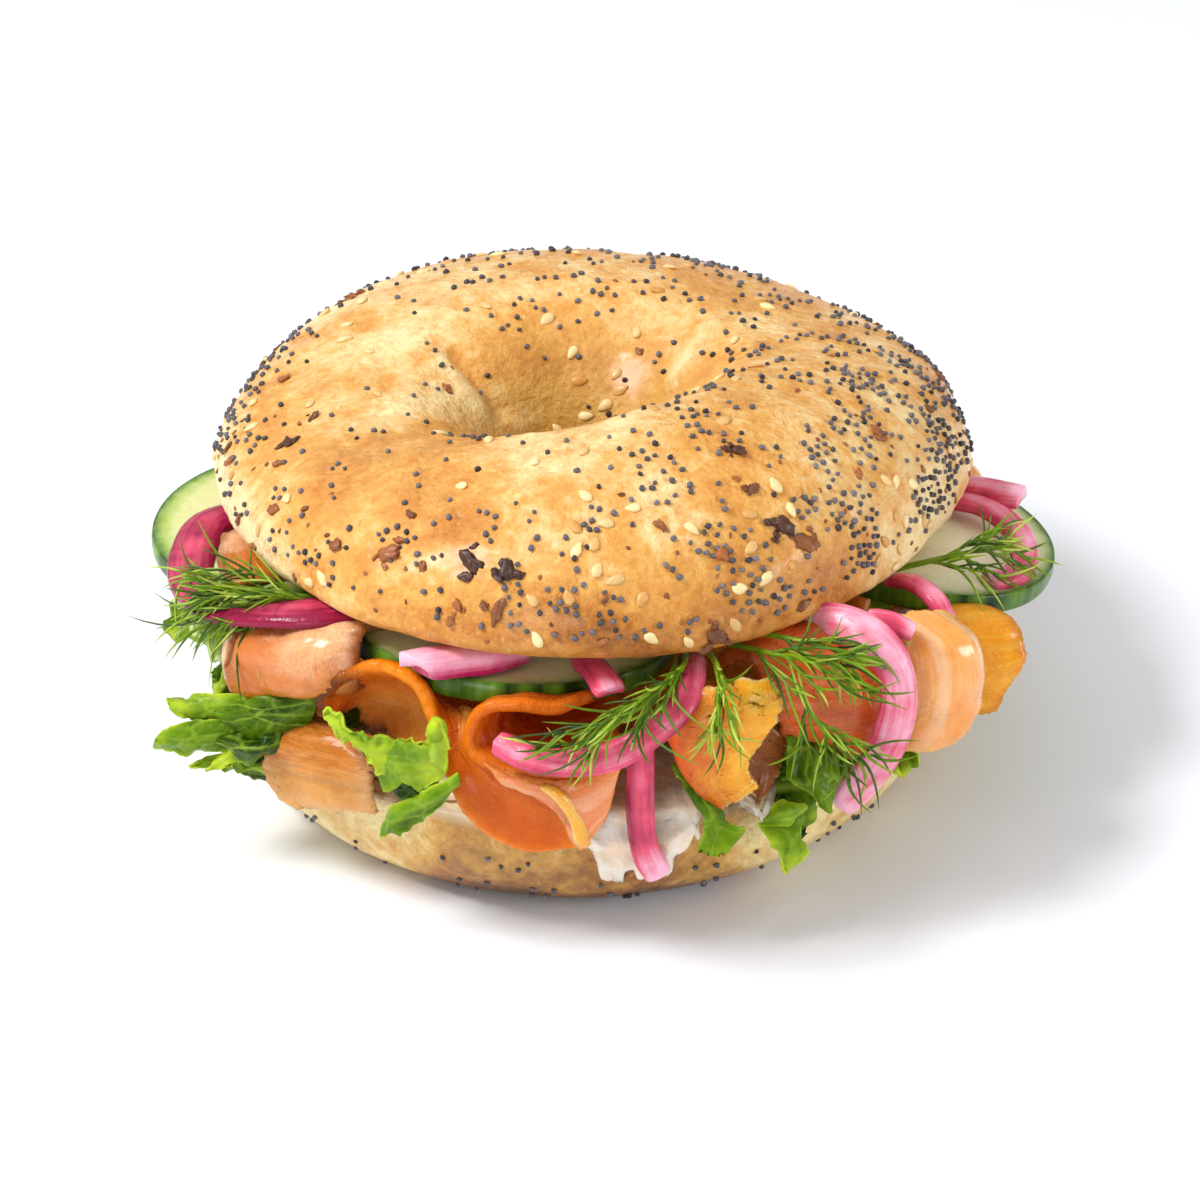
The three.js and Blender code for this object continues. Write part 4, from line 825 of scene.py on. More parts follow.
def settled(shape, faces, places, normals, sizes, sink, rng, tones, wobble=0.0, lean=0.25):
    """Copies of a small shape, set into a surface at random turns."""
    count = len(places)
    spin = rng.uniform(0, 2 * np.pi, count)
    up = unit(normals + lean * rng.normal(0, 0.4, (count, 3)))
    side = unit(np.cross(up, np.array([0.31, 0.22, 0.93])))
    third = np.cross(up, side)
    first = side * np.cos(spin)[:, None] + third * np.sin(spin)[:, None]
    second = np.cross(up, first)
    body = np.broadcast_to(shape, (count, *shape.shape)).copy()
    if wobble:
        offset = np.arange(count)[:, None, None] * 17.3
        bumps = noise(body + offset, 0.8, 77) + 0.55 * noise(body + offset, 0.3, 78)
        body = body * (1 + wobble * bumps)[..., None]
    body = body * sizes[:, None, :]
    centre = places + up * (sizes[:, 2] * (1 - 2 * sink))[:, None]
    points = (centre[:, None, :] + body[..., :1] * first[:, None, :] + body[..., 1:2] * second[:, None, :]
              + body[..., 2:] * up[:, None, :])
    numbers = faces[None] + (np.arange(count) * len(shape))[:, None, None]
    total = points.reshape(-1, 3)
    return {"points": total, "faces": numbers.reshape(-1, 3), "uv": total[:, :2] / 100,
            "values": {"tone": np.repeat(tones, len(shape))}}


# Places tried for each one that is wanted, and how far down the hole's wall toppings lie
TRIES = 40
LAST_SHARE = 0.93


def crust_spots(count, likely, seed, apart, taken=()):
    """Places on the crown, as many as asked for, drawn where the likelihood is high."""
    rng = np.random.default_rng(seed)
    turn = rng.uniform(0, 1, count * TRIES)
    share = rng.uniform(0.0, LAST_SHARE, count * TRIES)
    u = turn * (TOP_TURNS - 1) / TOP_TURNS
    places = sample(crown, u, share)
    normals = unit(sample(crown_normals, u, share))
    room = sample(np.linalg.norm(np.roll(crown, -1, 0) - crown, axis=-1)[..., None], u, share)[..., 0]
    area = room / room.max()
    wanted = likely(np.degrees(2 * np.pi * turn), share, places) * area
    chosen = rng.uniform(0, 1, len(wanted)) < wanted
    places = places[chosen]
    normals = normals[chosen]
    kept = spaced(places, apart, taken)[:count]
    return places[kept], normals[kept], rng


def facing(azimuth, middle, width):
    """1 near an azimuth and 0 farther than width from it, in degrees."""
    away = np.abs((azimuth - middle + 180) % 360 - 180)
    return 1 - smooth(away, width * 0.35, width)


def poppy_likely(azimuth, share, places):
    clump = smooth(0.8 * noise(places, 8, 51) + 0.9 * noise(places, 3.6, 52), -0.05, 0.6)
    band = 1 - smooth(share, 0.15, 0.30)
    right = facing(azimuth, 355, 80) * (1 - smooth(share, 0.36, 0.58))
    back = facing(azimuth, 75, 75) * (1 - smooth(share, 0.22, 0.48))
    front = facing(azimuth, 290, 50) * (1 - smooth(share, 0.20, 0.42))
    left = facing(azimuth, 215, 60)
    few = (0.02 + 0.04 * facing(azimuth, 20, 120)) * (1 - 0.5 * smooth(share, 0.55, 0.75))
    low = smooth(share, 0.015, 0.05)
    bands = (0.42 - 0.26 * left) * band + 0.75 * right + 0.35 * back + 0.32 * front
    return low * np.clip(bands * clump + few, 0, 1)


def sesame_likely(azimuth, share, places):
    clump = smooth(noise(places, 12, 61), -0.2, 0.7)
    band = 1 - smooth(share, 0.14, 0.30)
    right = facing(azimuth, 305, 45) * (1 - smooth(share, 0.26, 0.42))
    hole = facing(azimuth, 60, 60) * smooth(share, 0.5, 0.6)
    return np.clip((0.16 * band + 0.9 * right + 0.35 * hole) * clump + 0.03, 0, 1)


# Toasted onion flakes seen in the picture: place, size and tone (0 is burnt)
FLAKES = {
    "burnt_front": {"at": (470, 562), "size": 3.3, "tone": 0.05},
    "burnt_front_right": {"at": (509, 569), "size": 3.2, "tone": 0.0},
    "burnt_left": {"at": (286, 441), "size": 2.2, "tone": 0.05},
    "burnt_right": {"at": (780, 526), "size": 3.4, "tone": 0.08},
    "burnt_right_high": {"at": (737, 453), "size": 2.5, "tone": 0.12},
    "red_front": {"at": (390, 553), "size": 3.1, "tone": 0.75},
    "red_right": {"at": (803, 544), "size": 3.4, "tone": 0.55},
    "red_low": {"at": (497, 613), "size": 2.9, "tone": 0.5},
    "red_back": {"at": (352, 299), "size": 2.9, "tone": 0.8},
    "brown_right": {"at": (752, 489), "size": 2.1, "tone": 0.35},
    "brown_left": {"at": (314, 414), "size": 2.0, "tone": 0.3},
    "brown_low": {"at": (716, 636), "size": 3.0, "tone": 0.3},
    "amber_front": {"at": (456, 604), "size": 1.8, "tone": 0.8},
    "amber_right": {"at": (874, 432), "size": 2.2, "tone": 0.7},
}


MORE_FLAKES = 150
CRUMBS_EACH = 3
FLAKES_APART = 2.2
SESAME_COUNT = 125
SESAME_APART = 2.5
AMBER_SHARE = 0.35
POPPY_COUNT = 1350
POPPY_COUNT_BELOW = 150
POPPIES_APART = 1.05


def flake_likely(azimuth, share, places):
    return 0.05 + 0.5 * (1 - smooth(share, 0.16, 0.36))


def flakes():
    """The flakes seen in the picture, crumbs round each of them, and smaller ones."""
    rng = np.random.default_rng(5)
    places = []
    normals = []
    for flake in FLAKES.values():
        away = ((crown - seen_on(top_tree, flake["at"])) ** 2).sum(-1)
        nearest = np.unravel_index(away.argmin(), away.shape)
        places.append(crown[nearest])
        normals.append(crown_normals[nearest])
    more, more_normals, _ = crust_spots(MORE_FLAKES, flake_likely, 9, FLAKES_APART, np.array(places))
    sizes, tones = (np.array([flake[key] for flake in FLAKES.values()]) for key in ("size", "tone"))
    centres, across, wide = (np.repeat(values, CRUMBS_EACH, 0) for values in (places, normals, sizes))
    away = rng.normal(0, 1, across.shape)
    away = unit(away - across * (away * across).sum(-1, keepdims=True))
    crumbs = centres + away * (wide * rng.uniform(0.45, 0.8, len(wide)))[:, None]
    crumb_sizes = wide * rng.uniform(0.25, 0.6, len(wide))
    sizes = np.concatenate([sizes * 0.85, crumb_sizes, 0.55 + 1.5 * rng.uniform(0, 1, len(more)) ** 3])
    tones = np.concatenate([tones, np.repeat(tones, CRUMBS_EACH), rng.uniform(0.25, 1.0, len(more))])
    places = np.concatenate([places, crumbs, more])
    normals = np.concatenate([normals, across, more_normals])
    extent = np.stack([sizes * 0.58, sizes * 0.40 * rng.uniform(0.7, 1.3, len(sizes)), sizes * 0.20], -1)
    part = settled(*ball(3), places, normals, extent, 0.25, rng, tones, wobble=0.6)
    piece("flakes_look", part, FLAKE, [])
    return places


def sesame(taken):
    teardrop, faces = ball(2)
    teardrop[:, 1] *= 1 - 0.42 * np.clip(teardrop[:, 0], -0.2, 1)
    teardrop[:, 2] *= 1 - 0.25 * np.clip(teardrop[:, 0], 0, 1)
    places, normals, rng = crust_spots(SESAME_COUNT, sesame_likely, 14, SESAME_APART, taken)
    long = rng.uniform(1.05, 1.4, len(places))
    extent = np.stack([long, long * rng.uniform(0.56, 0.66, len(places)), long * 0.34], -1)
    amber = rng.uniform(0, 1, len(places)) < AMBER_SHARE
    tones = np.clip(rng.normal(0.80, 0.16, len(places)) - 0.62 * amber, 0, 1)
    extent[:, 2] *= 1 - 0.35 * amber
    part = settled(teardrop, faces, places, normals, extent, 0.36, rng, tones, wobble=0.08)
    piece("sesame_look", part, SESAME, [])
    return places


def poppies(taken):
    places, normals, rng = crust_spots(POPPY_COUNT, poppy_likely, 23, POPPIES_APART, taken)
    turn = rng.uniform(0, 1, POPPY_COUNT_BELOW)
    rise = rng.uniform(0.3, 0.98, POPPY_COUNT_BELOW)
    turn = turn * (BOTTOM_TURNS - 1) / BOTTOM_TURNS
    places = np.concatenate([places, sample(flank, turn, rise)])
    normals = np.concatenate([normals, unit(sample(flank_normals, turn, rise))])
    size = rng.uniform(0.40, 0.60, len(places))
    extent = np.stack([size, size * 0.82, size * 0.78], -1)
    tones = np.clip(rng.normal(0.5, 0.3, len(places)), 0, 1)
    bean, faces = ball(1)
    bean[:, 1] += 0.2 * bean[:, 0] ** 2
    part = settled(bean, faces, places, normals, extent, 0.25, rng, tones, wobble=0.06)
    piece("poppies_look", part, POPPY, [])


flake_places = flakes()
sesame_places = sesame(flake_places)
poppies(np.concatenate([sesame_places, flake_places]))


# Cucumber slices: middle of the upper face, radius, the two tilts in degrees and how much painted light pales
# the flesh
CUCUMBERS = {
    "left": ([-41.8, -0.7, 36], 22.6, -2, -2.6, 0.0),
    "front": ([-11.2, -28.9, 37.2], 24.2, -6.8, 4.5, 0.8),
    "right": ([46.5, 1.4, 34.3], 23.4, -5, 12, 1.0),
    "back_right": ([23.3, 37.3, 31], 21, -8, 3, 0.3),
    "back_left": ([-20.7, 38.9, 31], 21.5, -8.5, -2, 0.3),
}
CUCUMBER_THICK = 3.4
CUCUMBER_TURNS = 120


def cucumber(middle, radius, tilt_x, tilt_y, bright, seed):
    around = np.arange(CUCUMBER_TURNS) / CUCUMBER_TURNS * 2 * np.pi
    half = CUCUMBER_THICK / 2
    profile = [(r, half, r, 0) for r in np.linspace(0.001, 0.972, 26)]
    for turn in np.linspace(0, np.pi, 11)[1:-1]:
        profile.append((0.985 + 0.02 * np.sin(turn), half * np.cos(turn) * 0.97, 1, 1))
    profile += [(r, -half, r, 0) for r in np.linspace(0.972, 0.001, 12)]
    reach, height, radial, rind = np.array(profile).T
    outline = radius * (1 + 0.006 * np.sin(2 * around + seed) + 0.004 * np.sin(5 * around + 2 * seed))
    x = reach[None] * outline[:, None] * np.cos(around)[:, None]
    y = reach[None] * outline[:, None] * np.sin(around)[:, None]
    z = np.broadcast_to(height[None], x.shape).copy()
    grid = np.stack([x, y, z], -1)
    dish = 0.16 * noise(grid, 8, seed) - 0.22 * smooth(radial, 0.55, 0.97)[None] * (1 - rind[None])
    grid[..., 2] += dish * np.sign(height)[None] * (1 - rind[None])
    grid[..., 2] -= half
    grid = turned(grid, tilt_x, tilt_y) + np.array(middle)
    uv = np.stack(np.broadcast_arrays(around[:, None] * radius, z + half), -1) / 100
    return outward(part_of(grid, (True, False), uv, radial=radial[None], rind=rind[None], bright=bright))


for number, (place, spec) in enumerate(CUCUMBERS.items()):
    food("cucumber", place, cucumber(*spec, number + 1), CUCUMBER)


# Pickled onion
UP = np.array([0.0, 0.0, 1.0])
TO_VIEWER = np.array([0.0, -0.84, 0.54])
TO_BACK = np.array([0.0, 0.84, 0.54])


def out_at(azimuth):
    return unit(at(azimuth, 1.0, 0.35))


ONION_SEED = 70
STRIP_STEPS = 64
STRIP_SIDES = 28
STRIP_TAPER = 0.1


def strip_part(path, seed, width=4.2, thickness=1.8, face=UP, hollow=0.3, slant=0.0, core=0.0, shade=0.0,
               fade=0.0):
    """A strip of onion: a flattened, slightly hollow section swept along a path of stations."""
    t = np.linspace(0, 1, STRIP_STEPS)
    middle = spline(stations(path), t)
    tangent = unit(np.gradient(middle, axis=0))
    side = unit(np.cross(tangent, face))
    out = unit(np.cross(side, tangent))
    turn = np.arange(STRIP_SIDES) / STRIP_SIDES * 2 * np.pi
    to_end = np.minimum(t, 1 - t)
    ends = smooth(to_end, -0.004, 0.02) * (1 - STRIP_TAPER * (1 - smooth(to_end, 0, 0.2)))
    wave = 1 + 0.07 * noise1(t * 40, 9, seed)
    cross_u = np.sign(np.cos(turn)) * np.abs(np.cos(turn)) ** 0.7
    cross_v = np.sign(np.sin(turn)) * np.abs(np.sin(turn)) ** 0.45
    wide = (width / 2 * ends * wave)[:, None] * cross_u[None]
    thick = (thickness / 2 * ends)[:, None] * cross_v[None]
    thick = thick - (hollow * thickness * ends)[:, None] * (cross_u ** 2)[None]
    grid = middle[:, None] + side[:, None] * wide[..., None] + out[:, None] * thick[..., None]
    grid = grid + 0.12 * noise(grid, 3, seed)[..., None] * out[:, None]
    lean = slant * (1 - smooth(t, 0, 0.3))[:, None] * (cross_v - cross_u)[None]
    grid = grid + tangent[:, None] * lean[..., None]
    first = grid[:1].mean(1, keepdims=True) + np.zeros((1, STRIP_SIDES, 1))
    last = np.broadcast_to(middle[-1:, None], (1, STRIP_SIDES, 3))
    grid = np.concatenate([first, grid, last])
    length = np.linalg.norm(np.diff(middle, axis=0), axis=1).sum()
    along = np.concatenate([[0], t, [1]]) * length
    uv = np.stack(np.broadcast_arrays(along[:, None], (turn * width / 2)[None]), -1) / 100
    rim = np.abs(cross_u) ** 3
    face_up = 0.5 + 0.5 * cross_v
    skin = np.broadcast_to(0.36 + 0.26 * rim + 0.16 * (1 - face_up), (len(along), STRIP_SIDES)).copy()
    skin = shade + skin * (1 - core) + core * (1.25 - 1.3 * smooth(cross_v, -0.5, 0.35))
    skin -= 0.3 * (1 - smooth(np.minimum(along, along[::-1]), 0.0, 3.0))[:, None]
    skin -= fade * smooth(along / length, 0.6, 1.0)[:, None]
    return outward(part_of(grid, (False, True), uv, skin=skin))


# Strips: look, size, the way that the outer face looks, how pink and hollow it is, and its path
ONIONS = {
    # On the left arc, shade and the negative fade paint the shade under the top half: its pink deepens, more
    # so toward its end
    "left_arc": {"width": 6.6, "shade": 0.5, "fade": -0.2, "path": [
        [178.9, 48, 37], [182.8, 55.5, 36.6], [189.7, 58.3, 36.2], [196.5, 60, 36], [203.3, 60.4, 36.8],
        [210.5, 60.3, 38.8], [218.5, 58.5, 41.8], [224.5, 55, 43.2], [229, 49, 43], [233, 43, 42.4],
    ]},
    "front_wedge": {"width": 4.6, "thickness": 4.0, "hollow": 0.0, "look": WHITE_ONION, "slant": -1.2,
                    "core": 0.55, "path": [
        [245.2, 57.5, 42.6], [249, 54.5, 42.4], [254, 51, 42], [259, 46.5, 41.4],
    ]},
    "front_slip": {"width": 4.6, "thickness": 1.4, "shade": 0.25, "path": [
        [269, 48, 41.6], [271.5, 53, 42.2], [273.2, 57, 41.3],
    ]},
    "centre_arc": {"thickness": 2.1, "face": TO_VIEWER, "shade": 0.12, "path": [
        [257.6, 61, 35.1], [262.5, 63, 34.2], [268, 63.8, 34.2], [273, 63.8, 35.3], [277.5, 62.6, 37.6],
        [281.5, 60.5, 39.6], [284.5, 56.5, 41], [287, 50, 41.6],
    ]},
    "hanging": {"thickness": 1.9, "face": out_at(278), "shade": 0.2, "fade": 0.5, "path": [
        [277.4, 57.5, 34.4], [277.1, 58.4, 28], [277.1, 58.6, 22], [277.9, 58.2, 15.5], [279.9, 58.2, 10.6],
    ]},
    "right_arc": {"width": 5.8, "thickness": 2.0, "face": unit(out_at(311) + TO_VIEWER * 0.6),
                  "shade": -0.16, "fade": 0.2, "path": [
        [306.5, 49.5, 42], [308.4, 56, 44.4], [309.8, 61.5, 43.9], [310.9, 64.6, 41], [311.4, 65.8, 36],
        [311.4, 65, 30], [311.1, 63, 24], [310, 60.3, 18.8], [306.8, 58.6, 15.4],
    ]},
    "right_slip": {"width": 3.2, "thickness": 1.5, "path": [
        [331, 49, 39.6], [329, 54.5, 41.2], [327.2, 59, 40.6], [326.4, 61.5, 38.2],
    ]},
    "right_chip": {"width": 3, "face": out_at(314), "path": [
        [313, 57, 43.9], [315, 60.5, 43.6], [316.4, 62.8, 42.4],
    ]},
    "side_curl": {"path": [
        [7, 52, 35.4], [4.5, 59, 34.8], [0.5, 63, 33.6], [355, 64.3, 32.8], [349.5, 63.4, 33], [345, 60, 34],
    ]},
    "side_chunk": {"width": 5, "thickness": 2.6, "path": [
        [11.5, 54, 35.2], [8.2, 60, 35.4], [5.4, 65, 35.6],
    ]},
    "back_arc": {"path": [
        [68, 52, 31], [72, 60, 30.6], [79, 64.4, 28.6], [88, 65.2, 26.4], [96, 64.4, 27.6], [102, 60, 30],
        [106, 52, 31],
    ]},
    "back_strip": {"width": 4, "thickness": 2, "face": out_at(138), "path": [
        [140, 54, 31.6], [139, 60.5, 30.4], [138, 62.6, 25], [137.5, 62, 19], [138.4, 60.5, 14.6],
    ]},
}
for number, (place, spec) in enumerate(ONIONS.items()):
    strip = strip_part(**without(spec, "look"), seed=ONION_SEED + number)
    food("onion", place, strip, spec.get("look", PINK_ONION))


# Thin sheets: salmon and leaves
def loft(rails, long=121, wide=121):
    """A grid of points through rails of stations: along each rail, then across them."""
    curves = np.stack([spline(stations(rail), np.linspace(0, 1, long)) for rail in rails])
    return spline(curves, np.linspace(0, 1, wide)).transpose(1, 0, 2)


def measured(rails):
    """A loft with the lengths of its lines along the rails and across them."""
    base = loft(rails)
    lengths = (np.linalg.norm(np.diff(base, axis=axis), axis=-1).sum(axis) for axis in (0, 1))
    return base, *lengths


def spread(length, rounding, count):
    """Steps from 0 to 1 that are close together within the rounding of both ends."""
    t = min(rounding / length, 0.25)
    start = t * (1 - np.cos(np.linspace(0, np.pi / 2, 6)[:-1]))
    return np.concatenate([start, np.linspace(t, 1 - t, count), 1 - start[::-1]])


def thickened(middle, half, uv, **values):
    """A closed part round a grid of middle points, welded along its border."""
    normals = grid_normals(middle)
    upper = middle + normals * half[..., None]
    lower = middle - normals * half[..., None]
    rows, columns = middle.shape[:2]
    top = np.arange(rows * columns).reshape(rows, columns)
    bottom = top + rows * columns
    border = np.zeros((rows, columns), bool)
    border[[0, -1]] = True
    border[:, [0, -1]] = True
    bottom = np.where(border, top, bottom)
    faces = np.concatenate([triangles_of(top), triangles_of(bottom)[:, ::-1]])
    points = np.concatenate([upper.reshape(-1, 3), lower.reshape(-1, 3)])
    used, numbers = np.unique(faces, return_inverse=True)
    flat = {name: np.tile(np.broadcast_to(value, (rows, columns)).ravel(), 2)[used]
            for name, value in values.items()}
    part = {"points": points[used], "faces": numbers.reshape(-1, 3),
            "uv": np.tile(uv.reshape(-1, 2), (2, 1))[used], "values": flat}
    return outward(part)


def torn(x, size, amount, seed):
    """How far a torn border lies in, along its length."""
    rough = 0.5 + 0.5 * noise1(x, size, seed)
    return amount * (0.6 * rough + 0.3 * np.abs(noise1(x, size * 0.35, seed + 1)) + 0.15
                     * np.abs(noise1(x, size * 0.12, seed + 2)))


def sheet_part(rails, seed, thickness=2.2, ragged=1.2, tear=5.0, wave=0.5, count=(96, 64), ridges=0.1,
               rim=2.6, calm=None):
    """A slice of fish lofted through rails, with torn borders, a rounded rim and a fine relief."""
    base, lengths, widths = measured(rails)
    length = lengths.mean()
    width = widths.mean()
    s, t = np.meshgrid(spread(length, thickness * 0.6, count[0]), spread(width, thickness * 0.6, count[1]),
                       indexing="ij")
    low_u, high_u = (torn(t * width, tear, ragged, seed + k) / length for k in (0, 5))
    low_v, high_v = (torn(s * length, tear, ragged, seed + k) / width for k in (10, 15))
    if calm:
        steady = 1 - 0.75 * smooth(s, *calm)
        high_u, low_v, high_v = (side * steady for side in (high_u, low_v, high_v))
    u = low_u + (1 - low_u - high_u) * s
    v = low_v + (1 - low_v - high_v) * t
    middle = sample(base, u, v)
    normals = grid_normals(middle)
    flat = np.stack([u * length, v * width], -1)
    ridge = noise(flat * np.array([0.25, 1]), 1.5, seed + 3)
    lift = wave * fractal(flat, 9.0, 3, seed) + ridges * ridge
    middle = middle + normals * lift[..., None]
    away = np.minimum(np.minimum(s, 1 - s) * length, np.minimum(t, 1 - t) * width)
    inside = np.clip(away / (thickness * 0.6), 0, 1)
    half = thickness / 2 * np.sqrt(1 - (1 - inside) ** 2) * (0.92 + 0.12 * noise(flat, 6, seed + 7))
    return thickened(middle, half, flat / 100, edge=np.exp(-away / rim), along=s, across=t)


# The first of the orange look's changes is painted light: the inner part of each slice, the shaded hollow of
# the front drape's arch, is lightened
ORANGE = salmon_look("salmon_orange", (0.70, 0.12, 0.001), (0.52, 0.065, 0.001), (0.12, 0.03, 0.004),
                     fat=(0.92, 0.34, 0.02), rim_share=0.95, crisp=(0.84, 0.23, 0.003),
                     speckle=0.4, shine=0.22,
                     changes=[("across", (0.94, 0.36, 0.05), 0.25, 0.75),
                              ("along", (0.60, 0.10, 0.001), 0.54, 0.68)])
GOLDEN = salmon_look("salmon_golden", (0.68, 0.11, 0.006), (0.50, 0.06, 0.002), (0.76, 0.18, 0.003),
                     fat=(0.93, 0.40, 0.06), rim_share=0.9, shine=0.28)
GILDED = salmon_look("salmon_gilded", (0.95, 0.46, 0.014), (0.80, 0.24, 0.004), (0.16, 0.06, 0.012),
                     fat=(0.96, 0.70, 0.16), across=True, grain_size=1.3,
                     border=(0.92, 0.62, 0.28), shine=0.4,
                     changes=[("across", (0.60, 0.06, 0.006), 0.14, 0.36),
                              ("across", (0.30, 0.10, 0.018), 0.62, 0.80)])
# The peach flesh's paleness is partly the roll's paler salmon and partly a painted sheen for the broad wet
# highlight on its face
PEACH = salmon_look("salmon_peach", (0.93, 0.55, 0.31), (0.86, 0.40, 0.16), (0.26, 0.07, 0.008),
                    fat=(0.97, 0.76, 0.58), lines=0.3, speckle=0.8, shine=0.6, grain_mix=0.2,
                    changes=[("along", (0.68, 0.20, 0.02), 0.42, 0.55),
                             ("across", (0.54, 0.12, 0.001), 0.75, 0.36)])
BEIGE = salmon_look("salmon_beige", (0.62, 0.23, 0.02), (0.40, 0.11, 0.008), (0.74, 0.42, 0.19),
                    fat=(0.80, 0.42, 0.14), lines=0.2, spacing=2.2, rim_share=0.6, grain_size=0.8,
                    grain_mix=0.7, shine=0.3, changes=[("across", (0.70, 0.34, 0.07), 0.55, 1.0)])
DEEP = salmon_look("salmon_deep", (0.88, 0.17, 0.03), (0.70, 0.09, 0.012), (0.36, 0.08, 0.01),
                   fat=(0.93, 0.38, 0.12), speckle=0.2, shine=0.6)
LIGHT = salmon_look("salmon_light", (0.95, 0.42, 0.10), (0.88, 0.28, 0.035), (0.92, 0.50, 0.13),
                    fat=(0.97, 0.76, 0.52), lines=0.4, rim_share=0.5, spacing=9, shine=1.0, grain_mix=0.2)
BLUSH = salmon_look("salmon_blush", (0.84, 0.24, 0.07), (0.70, 0.14, 0.03), (0.88, 0.34, 0.06),
                    fat=(0.96, 0.62, 0.38), lines=0.4, rim_share=0.5, spacing=6, shine=0.8, grain_mix=0.3)
HONEY = salmon_look("salmon_honey", (0.98, 0.54, 0.05), (0.90, 0.32, 0.008), (0.96, 0.46, 0.02),
                    fat=(0.98, 0.82, 0.40), lines=0.4, rim_share=0.5, spacing=1.6, shine=1.0, grain_mix=0.4)
AMBER = salmon_look("salmon_amber", (0.95, 0.43, 0.014), (0.85, 0.26, 0.005), (0.40, 0.13, 0.006),
                    fat=(0.97, 0.64, 0.12), speckle=0.7)

